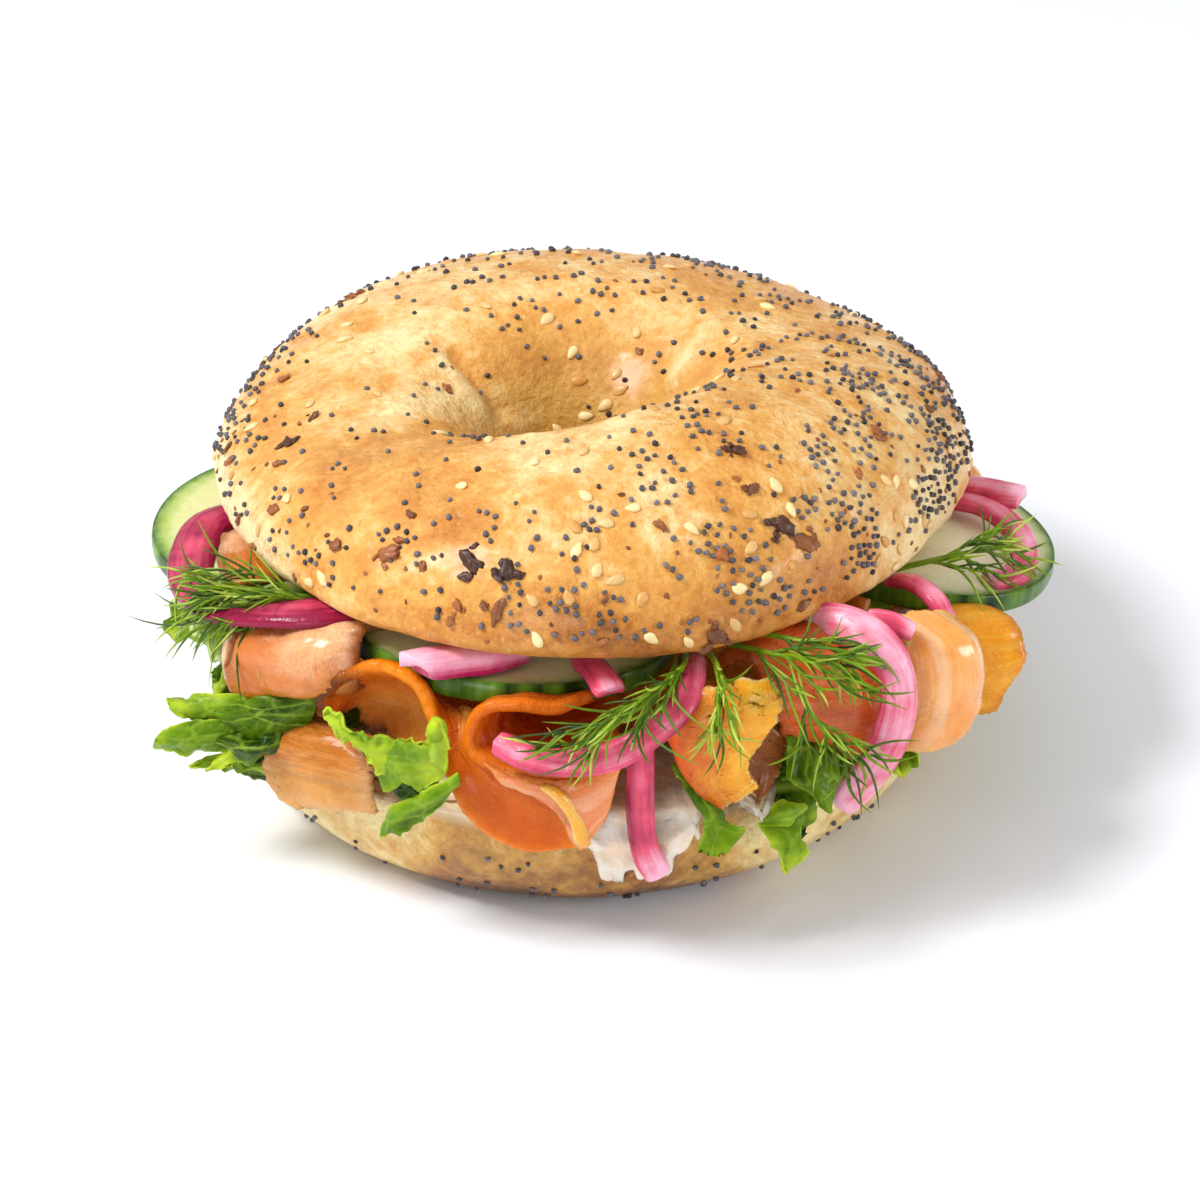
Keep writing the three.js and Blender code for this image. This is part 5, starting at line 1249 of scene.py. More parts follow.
# Slices: the look, the thickness where it isn't the usual one, how ragged and torn the borders are, and
# the rails that the slice is drawn through. The cap closes the roll's left end.
SLICE_SEED = 100
INNER_SEED = 400
CAP = {"seed": 93, "thickness": 1.3, "ragged": 0.5, "tear": 1.6, "count": (56, 24), "wave": 0.2, "rim": 0.6}
SALMONS = {
    "front_drape": {"look": ORANGE, "count": (130, 72), "ragged": 1.6, "tear": 2.0, "rim": 1.8,
                    "calm": (0.24, 0.40), "rails": [
        [[230, 58.6, 28.6], [229.6, 59.2, 33], [233.6, 59, 38], [240, 57.6, 41], [245.4, 57.4, 39.6],
         [247.8, 57.8, 33.6], [250.2, 58.6, 26], [254.8, 59.2, 19], [261, 59.8, 16], [268.4, 60, 17.4]],
        [[229, 54, 26.8], [230.4, 54, 31.6], [234, 53.4, 35.6], [239.4, 52.8, 37.4], [245, 53, 35.6],
         [249.6, 55.2, 33], [252.6, 57.4, 29], [257.4, 59, 24.4], [262.6, 59.8, 21.4], [268.8, 60, 20.4]],
        [[228.4, 50, 26.2], [231, 49, 27.6], [235, 48.4, 28.8], [240, 48.4, 29.4], [245.4, 49.4, 29.6],
         [251, 53, 33], [253.6, 57, 30.6], [257.6, 58.8, 27.6], [262.6, 59.4, 25.8], [268, 59.6, 24.4]],
        [[229.6, 51, 24.4], [233, 50.8, 23.2], [237, 50.8, 22.8], [241, 51, 22.6], [246, 51, 24],
         [251.4, 51.6, 33.6], [254.4, 55, 30.6], [258.6, 56.8, 28.6], [263, 57.6, 27.4], [267.4, 58, 26.4]],
    ]},
    "front_curl": {"look": GOLDEN, "count": (130, 64), "ragged": 0.7, "rails": [
        [[271, 53, 37.8], [266, 56, 37.8], [260, 57.4, 38.8], [255.8, 58, 38.2], [253.8, 58.6, 35],
         [254.2, 59.4, 31.4], [257, 60, 29.8], [262, 60.7, 29.4], [267, 60.9, 29.6], [271, 60.6, 30.6],
         [275.4, 59.4, 33]],
        [[272, 46, 35], [265, 47, 35.2], [259.5, 48, 35.6], [256.4, 48.6, 34.8], [255.2, 49.6, 32.6],
         [256.4, 50.4, 30.4], [259.6, 52, 29], [263.4, 53, 28.6], [267, 53.4, 28.8], [270.6, 53.6, 29.4],
         [275.2, 51.4, 31]],
        [[274, 30, 33], [265, 31, 33.2], [257, 32, 33.2], [252.5, 33, 32.6], [251.5, 34, 31.4],
         [253, 34, 30.2], [257, 34, 29.6], [262, 34, 29.4], [266, 35, 29.6], [270, 35, 29.8],
         [277, 34, 30.4]],
    ]},
    "centre_fold": {"look": GILDED, "count": (96, 120), "ragged": 1.7, "tear": 2.0, "rim": 1.6,
                    "rails": [
        [[297.4, 57, 40.8], [298, 58.6, 38], [296.6, 60, 33], [292.2, 60.2, 29.4], [293.5, 59.6, 24.4]],
        [[288.5, 56.6, 41.4], [288.2, 60, 38.4], [287.6, 60.4, 33.4], [288, 59.6, 27], [291.2, 58.4, 21.5]],
        [[282.6, 55, 38], [282, 57.2, 34], [283, 57.8, 29], [286.2, 57.6, 24], [290, 57.2, 19.8]],
        [[284.6, 51, 37], [284.4, 53, 33.6], [285.8, 54.4, 29], [288, 54.8, 24.4], [291.2, 55.2, 20]],
        [[293, 51, 33], [294.4, 52.6, 30], [295.4, 53.6, 26.6], [295.4, 54.6, 22.8], [294.6, 55.6, 18.6]],
        [[299.6, 51, 29], [302, 53.4, 25.6], [300.4, 55, 23.4], [298, 56, 20.4], [295.4, 56.6, 15.9]],
    ]},
    "right_drape": {"look": DEEP, "count": (72, 72), "rails": [
        [[294, 40, 33], [300, 40, 33], [306, 40, 33], [311, 41, 33], [315.6, 42, 33]],
        [[294, 50, 41], [299, 51, 42.2], [304.8, 52, 42.4], [310.2, 53, 42.8], [315, 54, 42.4]],
        [[295.4, 53.5, 37], [300, 55, 37.4], [304.4, 57, 38.4], [309.4, 59, 39], [313.8, 60, 38.6]],
        [[298.4, 54, 31.5], [302, 55.4, 31], [305.6, 57, 31], [309.6, 59.2, 31], [313.8, 60.3, 30.6]],
        [[301, 52.6, 27.4], [304, 54, 25.2], [307.6, 55.4, 23.4], [311.1, 57, 20.2], [314, 58.2, 19.4]],
    ]},
    "right_fold": {"look": LIGHT, "count": (72, 88), "rails": [
        [[316.6, 54, 41], [316.4, 59.6, 39], [316.6, 60.8, 31], [316.8, 59, 24.6], [317, 57.6, 19.2]],
        [[319.6, 57, 42.4], [320.1, 64.2, 38.6], [320.6, 65, 30.3], [320.9, 63.6, 24.4],
         [320.9, 61.4, 19.4]],
        [[323, 59.4, 41.6], [324.2, 66, 37], [324.9, 66.6, 28.8], [324.8, 65.4, 23.6], [324.4, 63.2, 20]],
        [[325.6, 59.6, 40.4], [327, 63.6, 36], [327.6, 64, 28.4], [327.2, 62.8, 24], [326.6, 61, 21]],
        [[325, 56.6, 39], [326, 58.8, 35.4], [326.4, 59, 28.8], [326.2, 58.4, 25], [325.8, 57.6, 22.4]],
        [[320, 47, 36], [321, 47, 33.6], [321.6, 47, 29.6], [321.8, 47, 27.6], [322, 47, 26]],
    ]},
    "side_flap": {"look": AMBER, "thickness": 2.0, "count": (56, 64), "ragged": 1.6, "rails": [
        [[332, 46, 29.6], [336, 46, 29.6], [340, 46, 29.6], [345, 46, 29.4]],
        [[331, 53, 32], [335.4, 57, 32.4], [339.6, 61.4, 31.6], [342, 65, 29.6]],
        [[331.4, 57.4, 26], [335, 60.6, 26.2], [338, 65, 26.4], [340.8, 67.8, 27]],
        [[332, 57.6, 20.6], [334.6, 60, 20.4], [336.8, 63.4, 20.6], [338.6, 66.6, 22.6]],
        [[332.6, 57.8, 17.4], [334.6, 59.4, 16.6], [336, 61.6, 16.4], [337.4, 64.6, 16.6]],
    ]},
    "left_roll": {"look": PEACH, "count": (96, 96), "ragged": 0.8, "tear": 3.0, "rails": [
        [[212.6, 50, 36], [213.4, 58.6, 37.2], [214, 61.4, 35.4], [214.6, 61.8, 29.6], [214.4, 59.6, 27],
         [215, 46, 27]],
        [[219, 50, 37.4], [219.6, 58.2, 39], [220.2, 60.8, 37.2], [220.6, 61.2, 32.2], [220.4, 59.4, 29.4],
         [220, 46, 29]],
        [[226, 50, 39.4], [226.8, 56.6, 41], [227.4, 59.2, 39.2], [227.4, 59.6, 34.6], [227, 57.4, 31.6],
         [225, 46, 30.6]],
        [[233.4, 46, 40], [234.4, 52, 42.4], [235, 54.4, 41], [234.8, 54.8, 36.4], [233.4, 53, 33.4],
         [231.6, 44, 32]],
    ], "cap": [
        [[211.5, 57, 36.5], [212.5, 61, 34.5], [213, 61.5, 31], [212, 60, 26.5]],
        [[213.5, 59.5, 38], [215, 62.5, 35.5], [214.5, 62.5, 31.5], [213.5, 61, 27]],
        [[215.5, 60.5, 38.5], [217, 63, 36.5], [216, 63, 32], [216.5, 61.5, 28]],
    ]},
    "low_flap": {"look": BEIGE, "thickness": 1.8, "count": (64, 72), "ragged": 1.8, "tear": 3.0,
                 "ridges": 0.22, "rails": [
        [[224, 52.9, 23.4], [230, 53, 24], [237, 53, 24]],
        [[223, 56.6, 25], [230, 57.2, 26.4], [238, 57, 26.6]],
        [[220.6, 60.2, 20.6], [228.6, 60.2, 23.2], [240, 59.6, 24.4]],
        [[219, 60, 16.2], [227.5, 60, 18.8], [240.6, 59.6, 21]],
        [[221.6, 59, 10.8], [230.3, 58.8, 12.2], [239.4, 58.8, 16]],
    ]},
    "left_scrap": {"look": PEACH, "thickness": 1.2, "count": (40, 32), "rails": [
        [[180, 42, 37.2], [189, 42, 36.8], [198, 42, 36.8], [206, 42, 37.2]],
        [[184.6, 50, 37], [190, 50.6, 36.8], [198, 51, 36.6], [205, 50.4, 37]],
        [[186.6, 54.2, 36.6], [191, 55.4, 36.2], [198, 56.6, 36], [203.6, 55.6, 36.6]],
    ]},
    "back_drape": {"look": ORANGE, "count": (80, 56), "ragged": 1.6, "rails": [
        [[62, 40, 24.4], [70, 40, 25.4], [78, 40, 24.6], [86, 40, 25.4], [94, 40, 24.6]],
        [[60, 53, 25], [69, 54, 27], [78, 53, 25.2], [87, 54, 27], [95, 53, 25]],
        [[59, 59, 22.6], [69, 61, 23.6], [78, 59, 22], [87, 61, 23.4], [96, 59, 22]],
        [[58.6, 58.4, 15.4], [69, 60.2, 12.4], [78, 58.6, 14.2], [87, 60.4, 11.8], [95.4, 58.2, 15.6]],
    ]},
    "back_roll": {"look": PEACH, "count": (56, 80), "rails": [
        [[150, 48, 28], [150.4, 55.6, 29.4], [150.4, 60.4, 27], [150, 59.4, 23], [150.4, 54, 22.4],
         [150, 49, 23.6]],
        [[160, 48, 28.8], [160.4, 56.6, 31], [160.4, 62, 27.6], [160, 60.6, 23.2], [160.4, 54, 22.4],
         [160, 49, 23.6]],
        [[171, 47, 28.8], [171.4, 55.6, 30.4], [171.4, 60.2, 27.6], [171, 59, 23.4], [171.4, 54, 22.6],
         [171, 49, 23.4]],
    ]},
    "back_fold": {"look": LIGHT, "count": (72, 64), "rails": [
        [[14, 42, 28.4], [24, 42, 28.6], [34, 42, 28], [42, 42, 27.6]],
        [[13, 54, 29.4], [24, 56, 30.4], [35, 56, 29.4], [43, 55, 28.4]],
        [[13.4, 61.6, 26.6], [24, 64.4, 27], [35, 64, 26.2], [43, 61.4, 25.6]],
        [[15.6, 59.6, 23], [24.6, 61, 22.6], [34.6, 61, 22.4], [41.6, 59.4, 22.8]],
        [[18, 52, 24], [25, 52, 23.6], [34, 52, 23.6], [40, 52, 24]],
    ]},
}
for number, (place, spec) in enumerate(SALMONS.items()):
    fish = [sheet_part(**without(spec, "look", "cap"), seed=SLICE_SEED + 20 * number)]
    if "cap" in spec:
        fish.append(sheet_part(spec["cap"], **CAP))
    food("salmon", place, merged(fish), spec["look"])

# The front curl's pink flank and its thick golden lip
CURL_PARTS = {
    "flank": {"look": BLUSH, "seed": 97, "thickness": 1.8, "ragged": 0.7, "tear": 1.6, "count": (72, 56),
              "wave": 0.3, "rails": [
        [[255.5, 59.5, 31], [258.5, 60, 30], [262.5, 61, 30], [267, 61, 30], [271, 60.5, 31],
         [275, 59.5, 33]],
        [[258, 60.5, 28.5], [261.5, 61, 28], [265.5, 62, 27.5], [268, 62, 26.5], [271, 61.5, 27.5],
         [274, 60, 29]],
        [[264.5, 61.5, 27.5], [266, 62, 26.5], [267.5, 62, 23.5], [268.5, 62, 22.5], [270.5, 61, 23.5],
         [273, 60, 25.5]],
        [[266.5, 61.5, 25.5], [267, 62, 23.5], [268, 61.5, 20.5], [269, 61, 18], [270.5, 61, 20],
         [272, 60, 23.5]],
    ]},
    "lip": {"look": HONEY, "seed": 411, "thickness": 1.3, "ragged": 0.5, "tear": 1.4, "count": (64, 28),
            "wave": 0.25, "rim": 0.5, "rails": [
        [[263, 61.5, 28.5], [265, 62, 27.5], [267, 62, 25], [268, 62, 22.5], [268, 62, 20.5],
         [268.5, 61, 18.5]],
        [[264, 62, 29.5], [266, 63, 28.5], [267.5, 63, 26], [268.5, 63, 23.5], [269, 63, 21],
         [269.5, 62, 19]],
        [[264.5, 61.5, 29], [267, 62, 28], [268.5, 62, 26], [269.5, 62, 23], [270, 61.5, 20.5],
         [270, 61, 19]],
    ]},
}
for place, spec in CURL_PARTS.items():
    piece(f"salmon_{place}_look", sheet_part(**without(spec, "look")), spec["look"], [])

# Slices that lie flat inside: first and last azimuth, reach, height and thickness
INNER_SLICES = {
    "inner_front_left": (184, 264, 43, 24.4, 4.6),
    "inner_front_right": (270, 352, 43, 24.4, 4.6),
    "inner_back_right": (4, 84, 48, 23.2, 2.8),
    "inner_back_left": (92, 176, 48, 23.2, 2.8),
}
INNER_RADIUS = 18
for number, (place, (first, last, reach, level, thick)) in enumerate(INNER_SLICES.items()):
    inner_rails = [
        [[lerp(first, last, k / 4), radius + (1.5 if k % 2 else 0), level + 0.5 * np.sin(2.1 * k + radius)]
         for k in range(5)]
        for radius in (INNER_RADIUS, lerp(INNER_RADIUS, reach, 0.5), reach)
    ]
    inner = sheet_part(inner_rails, INNER_SEED + 20 * number, thick, ragged=0.8, wave=0.25, count=(56, 32))
    food("salmon", place, inner, ORANGE)


# Lettuce
LEAF_TEETH = 0.9
LEAF_SEED = 500
LOBE_SEED = 700


def leaf_sheet(rails, seed, ruffle=0.9, waves=6.0, count=(110, 40), tone=0.45, thickness=0.55):
    """A crinkled sheet through rails, whose last rail is the frilled edge of the leaf."""
    base, lengths, widths = measured(rails)
    length = lengths[-1]
    width = widths.mean()
    s, t = np.meshgrid(np.linspace(0, 1, count[0]), np.linspace(0, 1, count[1]), indexing="ij")
    fine_teeth = 0.6 * np.abs(noise1(s * length, 0.9, seed + 1))
    notch = LEAF_TEETH * (np.abs(noise1(s * length, 2.6, seed)) + fine_teeth)
    v = t * (1 - notch / width * smooth(t, 0.5, 1.0))
    side = 0.4 * LEAF_TEETH / length * noise1(t * width, 1.6, seed + 2)
    u = s + np.where(s < 0.5, side, -side) * smooth(np.abs(2 * s - 1), 0.7, 1.0)
    middle = sample(base, u, v)
    normals = grid_normals(middle)
    flat = np.stack([s * length, v * width], -1)
    grow = smooth(t, 0.25, 1.0) ** 1.3
    phase = 2 * np.pi * waves * s + 1.2 * noise(flat, 6, seed + 3) + 1.5 * t
    lift = ruffle * grow * (np.sin(phase) + 0.5 * np.sin(2.3 * phase + seed))
    crinkle = fractal(flat, 3.6, 2, seed + 4)
    middle = middle + normals * (lift + 0.32 * crinkle)[..., None]
    middle[..., 2] += 0.3 * ruffle * grow * np.sin(1.7 * phase + 1)
    half = np.full(s.shape, thickness / 2)
    from_rib = (s - 0.5 - 0.03 * noise1(t * width, 8, seed + 6)) * length
    rib = np.exp(-(from_rib / 0.9) ** 2) * (1 - smooth(t, 0.4, 0.95))
    # Painted light and shade: the tone is lighter where ruffles and crinkles rise and darker where they dip;
    # it also pales toward the frilled edge
    shade = tone + 0.3 * grow * np.sin(phase) + 0.125 * crinkle + 0.12 * t
    return thickened(middle, half, flat / 100, rib=rib, tone=shade)


LOBE_ROWS = 90
LOBE_COLUMNS = 44


def leaflet(rails, seed, ruffle=0.45, teeth=0.5, spacing=3.4, pleat=0.1, tone=0.45, tip=0.08, thickness=0.4):
    """A lobe of a leaf through rails from its root to its tip, the outer ones along its margins."""
    base, lengths, widths = measured(rails)
    length = lengths.mean()
    width = widths.max()
    s, t = np.meshgrid(np.linspace(0, 1, LOBE_ROWS), np.linspace(-1, 1, LOBE_COLUMNS), indexing="ij")
    rounded = np.sqrt(np.clip(1 - (np.maximum(s - 1 + tip, 0) / tip) ** 2, 0.0004, 1))
    bites = []
    for k, size in ((0, spacing), (1, spacing * 0.8)):
        coarse = 1.7 * np.abs(noise1(s * length, size, seed + k))
        fine = 0.4 * np.abs(noise1(s * length, size * 0.3, seed + 5 + k))
        bites.append(teeth * (coarse + fine) * (0.3 + 0.7 * smooth(s, 0.1, 0.5)))
    reach = rounded * (1 - np.where(t < 0, *bites) * 2 / width)
    across = 0.5 + 0.5 * t * reach
    middle = sample(base, s, across)
    towards = sample(grid_normals(base), s, across)
    flat = np.stack([s * length, (t + 1) / 2 * width], -1)
    margin = np.abs(t) ** 2.2
    wave = np.where(t < 0, noise1(s * length, spacing * 0.9, seed + 8), noise1(s * length, spacing, seed + 9))
    drawn = flat * np.array([0.4, 1])
    pleats = noise(drawn, 2.2, seed + 3) + 0.5 * noise(drawn, 1.1, seed + 13)
    broad = noise(flat * np.array([0.6, 1]), 5.5, seed + 5)
    curl = 0.3 * noise1(s * length, spacing * 0.35, seed + 6) * margin
    lift = 1.6 * ruffle * (margin * wave + curl) + pleat * pleats
    lift = lift + 0.3 * broad + 0.16 * fractal(flat, 2.2, 3, seed + 4)
    grid = middle + towards * lift[..., None]
    uneven = 0.6 + 0.4 * noise1(s * length, 4, seed + 12)
    rim = np.exp(-(1 - np.abs(t)) * width / 2 / 0.3) * uneven
    rib = 0.5 * np.exp(-(t * width / 2 / 0.4) ** 2) * (1 - smooth(s, 0.4, 0.9))
    # Painted light and shade: the tone follows the pleats, broad folds and margin waves that lift the lobe;
    # rim, margin and tip terms are the lobe's paler edges and tip
    shade = (tone - 0.04 + 0.5 * rim + 0.08 * margin + 0.07 * pleats + 0.2 * broad + 0.15 * margin * wave
             + 0.22 * smooth(s, 0.6, 1.0))
    return thickened(grid, np.full(s.shape, thickness / 2), flat / 100, rib=rib, tone=shade)


# Lobes: how light the tone is, how ruffled and toothed the margins are, how much of the end is rounded,
# and the rails
LEFT_LOBES = [
    {"tone": 0.12, "ruffle": 0.5, "teeth": 0.8, "tip": 0.2, "rails": [
        [[228.5, 56, 32.5], [224.5, 58.5, 32], [219.5, 60.5, 30], [214, 62.5, 26.5]],
        [[228, 57, 30.5], [225, 60, 29.5], [220.5, 62.5, 28.5], [215, 64.5, 26]],
        [[227, 57.5, 27], [224, 60.5, 27], [220, 63, 26], [216, 65.5, 25]],
        [[224, 57.5, 23], [222, 60, 22.5], [220, 62, 21.5], [217, 64, 21.5]],
    ]},
    {"tone": 0.52, "ruffle": 0.35, "tip": 0.02, "teeth": 0.35, "spacing": 2.0, "rails": [
        [[219.5, 60.5, 30], [215.5, 63, 28], [211.5, 66, 26.5], [208.5, 69, 25]],
        [[219.5, 61, 28], [216, 64, 27], [213, 67, 26], [210.5, 69.5, 25]],
        [[219.5, 61.5, 26], [216, 64.5, 24.5], [213.5, 67, 23.5], [211.5, 69, 24]],
    ]},
    {"tone": 0.56, "ruffle": 0.4, "tip": 0.02, "teeth": 0.35, "spacing": 2.0, "rails": [
        [[219, 62, 25], [216, 65, 25], [213.5, 69, 24.5], [211.5, 71.5, 22.5]],
        [[218, 62.5, 22.5], [216, 66, 22], [214, 70, 22], [211.5, 72.5, 21]],
        [[216, 62, 19], [214, 65.5, 18], [212, 69, 18], [209.5, 72, 17.5]],
    ]},
    {"tone": 0.85, "rails": [
        [[210, 59, 28.5], [210, 61, 28], [210.5, 62.5, 27]],
        [[211.5, 60, 27.5], [212.5, 62, 27.5], [211.5, 63, 26]],
        [[212, 60, 26], [213, 62, 26.5], [212.5, 63, 26.5]],
    ]},
    {"tone": 0.7, "tip": 0.5, "rails": [
        [[216, 62, 18.5], [214.5, 66.5, 18], [213.5, 69, 17]],
        [[215.5, 62, 15.5], [215, 66.5, 16], [214, 68.5, 16.5]],
    ]},
    {"tone": 0.8, "tip": 0.4, "rails": [
        [[216.5, 62, 20.5], [216, 66, 18.5], [215.5, 67.5, 16.5]],
        [[219.5, 61, 19.5], [217.5, 65.5, 17.5], [215.5, 67, 16]],
    ]},
    {"tone": 0.06, "ruffle": 0.9, "rails": [
        [[224, 59, 26], [221, 62, 24], [217.5, 64.5, 23.5]],
        [[224.5, 59.5, 23.5], [222.5, 64, 23], [217, 66.5, 22]],
        [[223.5, 59.5, 21], [220.5, 62.5, 19.5], [217.5, 64, 20]],
    ]},
    {"tone": 0.0, "rails": [
        [[222.5, 59, 19], [218, 61.5, 18], [215.5, 63, 17]],
        [[222, 58.5, 14], [217.5, 61, 13.5], [216, 62.5, 14.5]],
    ]},
]
FRILL_LOBES = [
    {"tone": 0.64, "teeth": 1.9, "spacing": 1.2, "ruffle": 0.55, "tip": 0.12, "rails": [
        [[249, 59.5, 33.5], [246, 61, 33.5], [241, 61.5, 32.5], [238, 61.5, 33], [235.5, 61, 34.5],
         [233, 61, 34.5]],
        [[248, 59.5, 30.5], [245, 61, 30.5], [241, 62, 30], [238, 62, 31], [235.5, 61.5, 32],
         [233, 61, 32.5]],
        [[247, 59, 25.5], [243.5, 60.5, 25.5], [240.5, 61, 26.5], [238, 61.5, 28.5], [235.5, 61, 29],
         [232.5, 60.5, 29.5]],
    ]},
    {"tone": 0.52, "teeth": 1.0, "ruffle": 0.6, "rails": [
        [[240.5, 61, 32], [245, 62, 33.5], [249.5, 63, 35.5]],
        [[240.5, 61, 28], [245.5, 62.5, 29.5], [251.5, 63, 31]],
        [[242, 61, 22.5], [246.5, 61.5, 24], [251, 62.5, 27]],
    ]},
    {"tone": 0.7, "tip": 0.4, "ruffle": 0.5, "rails": [
        [[248, 62, 31.5], [249, 63, 35.5], [250, 64, 39]],
        [[250, 63, 31], [251, 64.5, 35], [251.5, 64.5, 39]],
        [[252, 63, 30.5], [253, 64, 34.5], [253, 64, 38.5]],
    ]},
    {"tone": 0.36, "tip": 0.3, "rails": [
        [[254, 63, 30.5], [249.5, 62, 27], [245.5, 61, 23.5], [242, 61, 19.5], [241, 61, 15.5]],
        [[254, 64, 29.5], [250.5, 63.5, 25.5], [246.5, 62.5, 22], [243, 62, 18], [241.5, 61, 15]],
        [[253.5, 63, 28], [251, 63, 24], [248, 62.5, 20], [244.5, 62, 16.5], [242, 61, 15]],
    ]},
    {"tone": 0.03, "rails": [
        [[243, 59.5, 28], [247, 60.5, 28.5], [250.5, 61.5, 29]],
        [[243, 60, 21.5], [246, 60.5, 22.5], [249.5, 61.5, 25.5]],
    ]},
]
KNOB = [251, 64, 37.5]
KNOB_SIZE = [1.4, 1.3, 1.8]
RIGHT_LOBES = [
    # The first lobe's near-black tone paints the shade under the top half
    {"tone": 0.02, "rails": [
        [[301.5, 52, 27], [304.5, 53, 26.5], [307, 55, 24], [307.5, 57, 23]],
        [[299.5, 54, 24.5], [301, 56, 25], [303, 57, 24], [305, 58, 23]],
        [[298.5, 57, 21.5], [299.5, 58, 22.5], [301.5, 58, 22.5], [304, 58.5, 22]],
    ]},
    {"tone": 0.30, "tip": 0.03, "teeth": 0.8, "rails": [
        [[300, 55, 28], [299, 57, 25.5], [298.5, 58.5, 22.5], [301, 59.5, 21], [303, 60.5, 17]],
        [[305.5, 55, 26], [304.5, 57, 24.5], [302.5, 59, 22.5], [303, 60.5, 20], [304, 61, 17]],
        [[308.5, 56, 24], [308, 58, 23], [307, 59, 21], [306, 60, 19], [304.5, 60.5, 17]],
    ]},
    {"tone": 0.66, "tip": 0.05, "rails": [
        [[294.5, 59.5, 18.5], [295, 60, 20.5], [296.5, 60, 21.5], [298, 60, 20.5], [300.5, 59.5, 19]],
        [[294, 60, 18.5], [295.5, 61, 19.5], [296.5, 61.5, 20], [298.5, 61, 19.5], [300.5, 60, 18.5]],
        [[294, 60, 18], [295.5, 61, 18], [296.5, 61.5, 17.5], [298.5, 61, 17.5], [300, 60.5, 18]],
    ]},
    {"tone": 0.48, "tip": 0.12, "teeth": 0.7, "rails": [
        [[293.5, 59, 17.5], [294, 60, 16.5], [294.5, 61, 15], [295.5, 61.5, 13], [296, 61.5, 10.5]],
        [[296, 60, 18], [296, 61.5, 17], [296.5, 62.5, 15.5], [296.5, 62, 13], [296.5, 61.5, 10]],
        [[298.5, 60.5, 18], [297.5, 62, 16.5], [298, 62.5, 15.5], [298, 62, 13], [297, 61.5, 10]],
        [[300.5, 60.5, 17.5], [299, 61.5, 16.5], [299, 62, 14.5], [300.5, 61.5, 12.5], [298, 61.5, 10.5]],
    ]},
]
STALK_LOBES = [
    {"tone": 0.26, "teeth": 0.0, "ruffle": 0.15, "pleat": 0.05, "tip": 0.02, "thickness": 1.3, "rails": [
        [[282.5, 55.5, 27.5], [284, 57, 23.5], [286, 58.5, 20.5], [286, 59, 18.5], [284.5, 60, 16]],
        [[284, 55.5, 27], [285.5, 57.5, 23.5], [287, 59, 20.5], [287.5, 60, 18], [287.5, 61, 15.5]],
        [[285.5, 55.5, 26.5], [286.5, 57, 23.5], [288, 58.5, 21], [289, 59.5, 19], [291.5, 60, 18]],
    ]},
]

